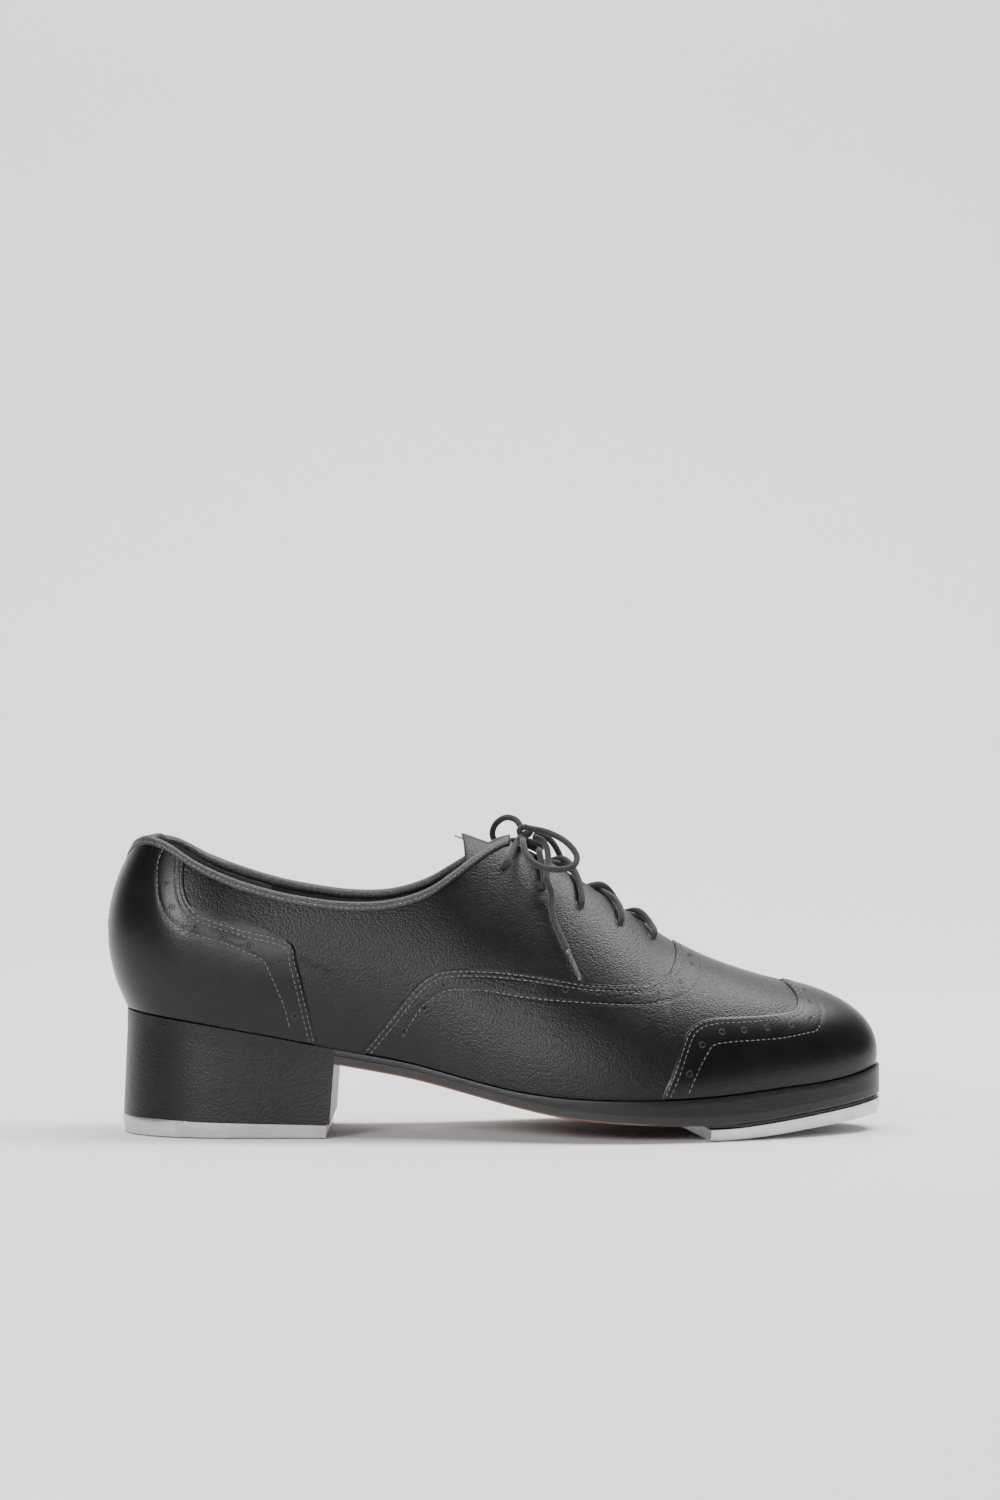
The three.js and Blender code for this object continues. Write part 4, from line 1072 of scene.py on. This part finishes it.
TAG_START_U, TAG_SHARE, TAG_LENGTH, TAG_THICKNESS = 1.6, 0.22, 9.8, 0.5
tag_sides = on_tongue(np.array([TAG_START_U] * 2), np.array([-TAG_SHARE, TAG_SHARE]), TONGUE[1] + 0.3)
tag_share = steps(TAG_LENGTH, 0.5, 0.12)
tag_width = steps(9, 0.5, 0.12)
tag_up = unit(np.array([-1, 0, TONGUE_RISE])) * TAG_LENGTH
tag_down = unit(np.array([-TONGUE_RISE, 0, -1])) * TAG_THICKNESS
tag_base = tag_sides[0] + tag_width[None, :, None] * (tag_sides[1] - tag_sides[0])
tag_face = tag_base + tag_share[:, None, None] * tag_up
tag = piece("tongue_tag_weave", closed_sheet(tag_face, tag_face + tag_down), tag_finish())
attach(tag, "tongue")
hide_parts("tongue_tag")


# Punched holes: rows of small holes along the overlaid pieces, each a cup in a slightly raised rim, the cup
# painted near black as painted shade for its depth, and blind eyelets, larger holes without metal that the
# lace runs through.
def hole_finish():
    made, _ = start_finish("punched_rim")
    # The cup is a shallow disc, not a cut: its near-black colour is painted shade standing in for the depth
    # of the hole.
    hollow = Term.node("Attribute", {"attribute_name": "hollow"}, output=2)
    colour = hollow.between((0.011, 0.011, 0.0115), (0.0008, 0.0008, 0.0008))
    return close_finish(made, Base_Color=colour, Roughness=hollow * 0.6 + 0.36, Coat_Weight=0.0)


PUNCHED_RIM = hole_finish()
HOLE_RINGS = [  # radius, height above the leather, share of the painted hole shade
    (0.0, -0.25, 0), (1.3, -0.25, 0), (1.24, 0.0, 0), (1.12, 0.1, 0), (0.98, 0.1, 0), (0.88, 0.03, 0.7),
    (0.8, -0.02, 1), (0.0, 0.015, 1),
]


def punched(centres, normals, size=1.0):
    """A turned rim and cup on each spot, square to the leather."""
    angle = np.linspace(0, 2 * math.pi, 12, endpoint=False)
    radius, height, painted_dark = np.array(HOLE_RINGS).T
    first = unit(np.cross(normals, [0.1, 0.2, 1.0]))
    second = np.cross(normals, first)
    spoke = np.cos(angle)[None, :, None] * first[:, None] + np.sin(angle)[None, :, None] * second[:, None]
    points = (
        centres[:, None, None]
        + size * radius[None, :, None, None] * spoke[:, None]
        + height[None, :, None, None] * normals[:, None, None]
    )
    starts = np.arange(len(centres))[:, None, None] * radius.size * angle.size
    faces = (grid_faces(radius.size, angle.size, wrap=True)[None] + starts).reshape(-1, 4)
    hollow = np.broadcast_to(painted_dark[None, :, None], (len(centres), radius.size, angle.size))
    return points.reshape(-1, 3), faces, hollow


HOLES = {
    "vamp": [
        (-31.8, 38), (-24.7, 46.4), (-18.3, 54.6), (-8, 55.4), (3.2, 54.5), (13.5, 54), (25, 52.8),
        (36.6, 51.8),
        (47.7, 50.9), (58, 51.3), (66, 55.1), (70.6, 61), (70.2, 63.7),
    ],
    "cap": [
        (68.3, 23.6), (73, 33.3), (80.2, 37.5), (88.2, 37.9), (96.6, 38.4), (105.5, 39.1), (112.8, 41),
        (113, 46.7), (111.7, 50.3),
    ],
    "foxing": [
        (-115.3, 100.2), (-116.7, 90.1), (-114.6, 81.7), (-106.2, 74.6), (-96.2, 71.2), (-86.7, 68.2),
        (-76.5, 62.5), (-70.8, 43.1),
    ],
}
EYELETS = [(1.97, 72), (1.895, 65.1), (1.805, 60.3), (1.72, 59.4), (1.635, 59.7)]
EYELET_U, EYELET_PHI = np.array(EYELETS).T * np.array([[1], [math.pi / 180]])


def on_spots(u, phi, depth, side):
    centre = on_last(u, phi, np.full(np.shape(u), depth), side)
    return centre, unit(on_last(u, phi, np.full(np.shape(u), depth - 1.0), side) - centre)


def punched_piece(name, groups, size=1.0):
    meshes = [punched(centres, normals, size) for centres, normals in groups]
    mesh = gathered(*[(points, faces) for points, faces, _ in meshes])
    return piece(name, mesh, PUNCHED_RIM, sharp=180, hollow=np.concatenate([m[2].ravel() for m in meshes]))


for name, spots in HOLES.items():
    groups = [on_spots(*placed(spots, side).T, PROUD[name], side) for side in (LATERAL, MEDIAL)]
    holes = punched_piece(f"{name}_holes", groups)
    if name == "foxing":
        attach(holes, "rear_shoe")
    else:
        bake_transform(holes)
eyelets = punched_piece(
    "blind_eyelets",
    [on_spots(EYELET_U, EYELET_PHI, PROUD["quarter"] - 0.05, side) for side in (LATERAL, MEDIAL)],
    1.55,
)
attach(eyelets, "rear_shoe")


# Laced lace: the same cord, in a bar under the first eyelets and then crossing over the gap, under the
# far facing and up through the next eyelet, to the knot of the bow.
LACE_UNDER = 4.65
CROSSINGS = (0.5, 0.5, 0.5, 0.14)


def eyelet(i, side, depth):
    return on_last(EYELET_U[i], EYELET_PHI[i], depth, side)


def crossing(i, side, lift):
    """Points of one strand, from an eyelet over the gap to the next eyelet of the other facing."""
    level_ridge = math.pi / 2

    def at(share, phi, across, depth):
        return on_last(EYELET_U[i] + share * (EYELET_U[i + 1] - EYELET_U[i]), phi, depth, across)

    return [
        eyelet(i, side, -0.6),
        at(0.12, (EYELET_PHI[i] + level_ridge) / 2, side, -1.0),
        at(CROSSINGS[i], level_ridge, side, -0.25 - lift),
        at(0.8, math.radians(80), -side, 2.2),
        at(0.95, (EYELET_PHI[i + 1] + math.radians(82)) / 2, -side, LACE_UNDER),
        eyelet(i + 1, -side, LACE_UNDER),
    ]


def laced_from(start):
    """One half of the lace, from its first eyelet to the top one."""
    points = []
    for i in range(4):
        points += crossing(i, start if i % 2 == 0 else -start, 1.1 if start == LATERAL else -1.1)
    return points + [eyelet(4, start, 1.6), eyelet(4, start, -1.0)]


bar = [
    eyelet(0, MEDIAL, LACE_UNDER),
    on_last(EYELET_U[0], math.radians(81), LACE_UNDER, MEDIAL),
    on_last(EYELET_U[0], math.radians(81), LACE_UNDER, LATERAL),
    eyelet(0, LATERAL, LACE_UNDER),
]
laced = [(7.9, 4.6, 103.9), *laced_from(MEDIAL)[::-1], *bar, *laced_from(LATERAL), (7.9, -4.6, 103.9)]
laced_path = smooth_path(np.array([np.asarray(p, float) for p in laced]), 0.3)
lace = piece("lace_braid", tube(laced_path, LACE_RADIUS, 14, braid, 0.28), COTTON)
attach(lace, "rear_shoe")
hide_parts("lace")

KNOT = np.array([10.8, -0.5, 108.1])
wrap_turn = np.linspace(-0.4, 3.2 * math.pi, 60)
wrap = KNOT + np.stack(
    [
        1.95 * np.cos(wrap_turn) + 0.1,
        np.linspace(-1.5, 1.6, 60),
        1.55 * np.sin(wrap_turn) - 0.2,
    ],
    -1,
)
under_wrap = [
    smooth_path(
        [
            (7.9, s * 4.6, 103.9), (8.9, s * 3.4, 105.2), (10.2, s * 1.2, 106.4), (11.2, -s * 1.5, 107.1),
            (12.6, -s * 2.6, 107.2),
        ],
        0.3,
    )
    for s in (-1, 1)
]
knot_paths = [smooth_path(wrap[::3], 0.3), *under_wrap]
knot = piece(
    "bow_knot_braid",
    gathered(*(tube(path, LACE_RADIUS * 0.98, 14, braid, 0.28) for path in knot_paths)),
    COTTON,
)
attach(knot, "rear_shoe")
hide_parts("bow_knot")


# Sole: from the foot down, a sock lining, an insole board, a welt laid right across with the cork filler left
# out, a midsole under the forefoot and a leather outsole. Their edges are trimmed flush, burnished and inked
# black.
WELT_THICKNESS, OUTSOLE_THICKNESS, INSOLE_THICKNESS, SOCK_THICKNESS = 1.8, 3.2, 2.2, 1.3
GAP = 0.3
margin = curve([(-133, 0.4), (-58, 0.4), (-20, 0.8), (20, 2.2), (60, 2.6), (110, 2), (139, 1.8)])
underside = curve([
    (-133, 38.8), (-96, 33.2), (-58, 26.1), (-27.5, 20.6), (-10.5, 16.4), (6.8, 12), (23.7, 8.5), (41, 6.6),
    (62, 5.5), (77, 5.3), (85, 5.5), (95, 6.4), (115, 8.9), (134, 11.7), (140, 12.9),
])


def outline(u, side, inset):
    """The sole's outline in plan: the feather line moved out by its margin, less an inset."""
    u = np.asarray(u, float)
    step = 1e-3
    foot = last(u, 0, side)[..., :2]
    along = (last(np.minimum(u + step, 3), 0, side) - last(np.maximum(u - step, 0), 0, side))[..., :2]
    out = unit(np.stack([along[..., 1], -along[..., 0]], -1)) * -side
    out[u <= 0] = (-1, 0)
    out[u >= 3] = (1, 0)
    return foot + out * (margin(foot[..., 0]) - inset)[..., None]


SOLE_U = np.concatenate([np.linspace(0, 1, 46), np.linspace(1, 2, 90)[1:], np.linspace(2, 3, 60)[1:]])


def slab(rims, near_u=SOLE_U, far_u=SOLE_U, cap_first=False, cap_last=False):
    """A layer as ribs across the shoe. rims are (inset, height as a function of x) from the top edge to the
    bottom one; each rib runs down the lateral edge, across below, up the medial edge and back above."""
    def edge(u, side):
        sides = []
        for inset, height in rims:
            plan = outline(u, side, inset)
            sides.append(np.concatenate([plan, height(plan[:, :1])], -1))
        return np.stack(sides, 1)

    near, far = edge(near_u, LATERAL), edge(far_u, MEDIAL)
    shares = np.linspace(0, 1, 14)[1:-1, None]

    def crossed(a, b, height):
        middle_points = a[:, None] * (1 - shares) + b[:, None] * shares
        middle_points[..., 2] = height(middle_points[..., 0])
        return middle_points

    below = crossed(near[:, -1], far[:, -1], rims[-1][1])
    above = crossed(far[:, 0], near[:, 0], rims[0][1])
    ribs = np.concatenate([near, below, far[:, ::-1], above], 1)
    ends = [ribs]
    if cap_first:
        ends.insert(0, ribs[:1] * 0 + ribs[:1].mean(1, keepdims=True))
    if cap_last:
        ends.append(ribs[-1:] * 0 + ribs[-1:].mean(1, keepdims=True))
    ribs = np.concatenate(ends)
    return ribs.reshape(-1, 3), grid_faces(len(ribs), ribs.shape[1], wrap=True)


def softened(body, width, segments=2):
    """A narrow bevel along the sharp edges."""
    bevel = body.modifiers.new("edge", "BEVEL")
    bevel.width, bevel.segments, bevel.limit_method = width * MM, segments, "ANGLE"
    bevel.angle_limit, bevel.harden_normals = math.radians(38), True
    return body


def inked_finish():
    made, here = start_finish("inked_edge")
    streaks = noise(Term.node("Mapping", {}, {"Vector": here, "Scale": (0.12, 0.12, 1)}), 0.9, 3)
    fibres = noise(here, 0.5, 3)
    colour = streaks.ramp((0.35, 0), (0.75, 1)).between((0.003, 0.003, 0.0032), (0.009, 0.009, 0.0088))
    return close_finish(
        made, streaks * 0.6 + fibres * 0.4, 0.1, Base_Color=colour, Roughness=0.38, Specular_IOR_Level=0.35
    )


INKED_EDGE = inked_finish()


def seat(x):
    return feather(x) - GAP


def welt_low(x):
    return seat(x) - WELT_THICKNESS


def outsole_top(x):
    return np.minimum(underside(x) + OUTSOLE_THICKNESS, welt_low(x))


welt_rims = [
    (4.2, lambda x: seat(x) + 0.25), (0.45, lambda x: seat(x) + 0.25), (0.1, lambda x: seat(x) + 0.1),
    (0.0, lambda x: seat(x) - 0.25), (0.0, welt_low),
]
welt = piece("welt_leather", slab(welt_rims), INKED_EDGE)
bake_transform(welt)
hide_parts("welt", "bottom_filler")

MIDSOLE_U = np.concatenate([np.linspace(from_x(-2), 2, 50), np.linspace(2, 3, 60)[1:]])
midsole_rims = [(0.03, welt_low), (0.03, outsole_top)]
midsole = piece("midsole_leather", slab(midsole_rims, MIDSOLE_U, MIDSOLE_U, cap_first=True), INKED_EDGE)
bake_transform(midsole)
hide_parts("midsole")


def outsole_finish():
    made, here = start_finish("outsole_leather")
    bare = Term.node("Attribute", {"attribute_name": "bare"}, output=2)
    streaks = noise(Term.node("Mapping", {}, {"Vector": here, "Scale": (0.12, 0.12, 1)}), 0.9, 3)
    scuffs = noise(here, 7, 5, 0.65)
    black = streaks.ramp((0.35, 0), (0.75, 1)).between((0.003, 0.003, 0.0032), (0.009, 0.009, 0.0088))
    tan = scuffs.ramp((0.3, 0), (0.75, 1)).between((0.1, 0.04, 0.024), (0.18, 0.085, 0.052))
    colour = Term.node("Mix", {"data_type": "RGBA"}, {0: bare, 6: black, 7: tan}, 2)
    return close_finish(
        made, streaks * 0.5 + scuffs * 0.5, 0.1, Base_Color=colour, Roughness=bare * 0.2 + 0.4
    )


OUTSOLE_RIMS = [
    (0.0, outsole_top), (0.0, lambda x: underside(x) + 0.9), (0.0, lambda x: underside(x) + 0.75),
    (0.05, lambda x: underside(x) + 0.55), (0.15, lambda x: underside(x) + 0.3), (0.6, underside),
]
outsole_mesh = slab(OUTSOLE_RIMS)
rib_count = 2 * len(OUTSOLE_RIMS) + 24
rim_place = np.arange(rib_count)
on_edge = ((rim_place > 2) & (rim_place < 5)) | ((rim_place > rib_count - 18) & (rim_place < rib_count - 15))
below = (rim_place > 4) & (rim_place < rib_count - 17)
sole_x = outsole_mesh[0].reshape(-1, rib_count, 3)[..., 0]
waist = np.clip((sole_x + 57.5) / 3, 0, 1) * np.clip((57 - sole_x) / 6, 0, 1)
bare = below + on_edge * waist
outsole = piece("outsole_leather", outsole_mesh, outsole_finish(), bare=bare)
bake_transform(outsole)
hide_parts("outsole")

insole_rims = [(6.9, lambda x: feather(x) + INSOLE_THICKNESS), (6.9, feather)]
insole = piece("insole_fibre_board", slab(insole_rims), FIBRE_BOARD)
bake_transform(insole)
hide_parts("insole_board")


def sock_top(x):
    return feather(x) + INSOLE_THICKNESS + GAP + SOCK_THICKNESS


sock_rims = [
    (5.2, lambda x: sock_top(x) - 0.2), (5.0, lambda x: sock_top(x) - 0.5),
    (5.0, lambda x: sock_top(x) - 1.2),
]
sock = piece("sock_lining", slab(sock_rims), LINING_LEATHER)
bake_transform(sock)
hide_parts("sock_liner")


# Heel: a stacked block covered in the same calf, nailed to the seat, with its flat breast under the waist.
BREAST_TOP_X, BREAST_BOTTOM_X = -57, -58.6
HEEL_U = np.linspace(0, 1.2516, 90)
tap_top = curve([(-136, 6.4), (-59, 4.5)])


def heel_ring(spread, breast_x, height):
    """A heel outline at one height: the sole's outline spread outwards, cut straight across at the breast."""
    sides = []
    for side in (LATERAL, MEDIAL):
        plan = outline(HEEL_U, side, -spread)
        plan[:, 0] = np.minimum(plan[:, 0], breast_x)
        plan[-1, 0] = breast_x
        sides.append(plan)
    shares = np.linspace(0, 1, 16)[1:-1, None]
    breast = sides[0][-1] * (1 - shares) + sides[1][-1] * shares
    plan = np.concatenate([sides[0], breast, sides[1][:0:-1]])
    return np.concatenate([plan, np.broadcast_to(height(plan[:, :1]), (len(plan), 1))], -1)


def turned_up(rings):
    """Rings stacked from the bottom up, closed by a point in the middle of the first and of the last."""
    rings = [rings[0] * 0 + rings[0].mean(0), *rings, rings[-1] * 0 + rings[-1].mean(0)]
    return np.concatenate(rings), grid_faces(len(rings), len(rings[0]), wrap=True)


heel_low = heel_ring(1.4, BREAST_BOTTOM_X, lambda x: tap_top(x) + 0.12)
heel_high = heel_ring(0.04, BREAST_TOP_X, lambda x: underside(x) - 0.1)
cover_lip = [heel_ring(spread, BREAST_TOP_X, lambda x: feather(x) - 0.2) for spread in (0.14, 0.04)]
for ring in cover_lip:
    ring[len(HEEL_U) : -len(HEEL_U) + 1] = heel_high[len(HEEL_U) : -len(HEEL_U) + 1]
heel_rings = [heel_low + t * (heel_high - heel_low) for t in np.linspace(0, 0.98, 26)]
heel_block = softened(
    piece("heel_block_calf", turned_up([*heel_rings, *cover_lip, heel_high]), GRAINED_CALF, sharp=180), 0.45
)
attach(heel_block, "rear_shoe")
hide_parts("heel_block")


# Taps: cast aluminium plates with brushed edges, each held by three countersunk steel screws, the front
# one over a thin soundboard.
def aluminium_finish():
    made, here = start_finish("brushed_aluminium")
    brushed = noise(Term.node("Mapping", {}, {"Vector": here, "Scale": (0.05, 0.05, 1)}), 0.22, 3)
    cast = noise(here, 0.8, 4, 0.6)
    haze = noise(here, 9, 3)
    shade = (haze * 0.5 + brushed * 0.5).ramp((0.3, 0), (0.7, 1))
    colour = shade.between((0.5, 0.5, 0.51), (0.72, 0.72, 0.73))
    return close_finish(
        made, brushed * 0.6 + cast * 0.4, 0.035, Base_Color=colour, Metallic=1.0, Roughness=cast * 0.18 + 0.3
    )


ALUMINIUM = aluminium_finish()


def rear_side(x):
    return np.where(x < -110, 5.0, tap_top(x) - 0.2)


heel_tap_rings = [
    heel_ring(0.8, BREAST_BOTTOM_X - 1.2, lambda x: 0 * x), heel_ring(1.9, BREAST_BOTTOM_X - 1, rear_side),
    heel_ring(1.5, BREAST_BOTTOM_X - 1, tap_top),
]
heel_tap = softened(piece("heel_tap_plate", turned_up(heel_tap_rings), ALUMINIUM, sharp=180), 0.4, 3)
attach(heel_tap, "rear_shoe")
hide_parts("heel_tap")

rocker = curve([(84, 0), (95, 0.8), (115, 3), (134, 5.3), (140, 6.2)])


def tread(x):
    return np.maximum(rocker(np.maximum(x, 84)), 0)


def toe_tap_top(x):
    return underside(x) - 1.4


def rear_lift(x):
    """The plate's sloped rear edge, from the underside up towards the sole."""
    return 2.4 * np.clip((65.5 - x) / 4, 0, 1)


near_tap_start = placed([(75.3, 15)], LATERAL)[0, 0]
NEAR_TAP_U = np.concatenate([np.linspace(near_tap_start, 2.9, 60), np.linspace(2.9, 3, 14)[1:]])
FAR_TAP_U = np.concatenate([np.linspace(from_x(61.8), 2.9, 60), np.linspace(2.9, 3, 14)[1:]])
toe_tap_rims = [
    (-0.1, toe_tap_top), (-0.1, lambda x: (tread(x) + toe_tap_top(x)) / 2),
    (0.9, lambda x: tread(x) + rear_lift(x)),
]
toe_tap = softened(
    piece("toe_tap_plate", slab(toe_tap_rims, NEAR_TAP_U, FAR_TAP_U, cap_first=True), ALUMINIUM, sharp=180),
    0.4,
    3,
)
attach(toe_tap, "forefoot")
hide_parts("toe_tap")

SCREW_HEAD, SCREW_SHANK = 2.6, 1.3
HEEL_SCREWS = [(-74, -20), (-74, 20), (-120, 0.5)]
TOE_SCREWS = [(90, -24), (84, 28), (124, 5)]
SCREW_SPOTS = {
    **{f"heel_tap_screw_{i + 1}": (x, y, 15, "rear_shoe") for i, (x, y) in enumerate(HEEL_SCREWS)},
    **{f"toe_tap_screw_{i + 1}": (x, y, 7.2, "forefoot") for i, (x, y) in enumerate(TOE_SCREWS)},
}
screw_angle = np.linspace(0, 2 * math.pi, 48, endpoint=False)


def screw_mesh(x, y, low, length):
    """A countersunk screw, head down: rings from the middle of the head out to its rim and up the shank, with
    a cross sunk into the head."""
    side = [SCREW_HEAD, SCREW_HEAD, SCREW_SHANK, SCREW_SHANK, 0]
    radii = np.concatenate([np.linspace(0, SCREW_HEAD * 0.94, 14), side])
    heights = np.concatenate([np.zeros(14), [0.12, 0.5, 2.0, length, length]])
    px, py = radii[:, None] * np.cos(screw_angle), radii[:, None] * np.sin(screw_angle)
    arm = (np.minimum(np.abs(px), np.abs(py)) < 0.38) & (radii[:, None] < 1.7)
    sunk = np.where(arm & (np.arange(radii.size)[:, None] < 14), 0.8, 0)
    points = np.stack([x + px, y + py, low + heights[:, None] + sunk], -1)
    return points.reshape(-1, 3), grid_faces(radii.size, screw_angle.size, wrap=True)


for name, (x, y, length, body) in SCREW_SPOTS.items():
    low = 0.12 if body == "rear_shoe" else float(tread(x)) + 0.12
    screw = piece(name + "_steel", screw_mesh(x, y, low, length), BRIGHT_STEEL, sharp=30)
    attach(screw, body)
    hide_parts(name)
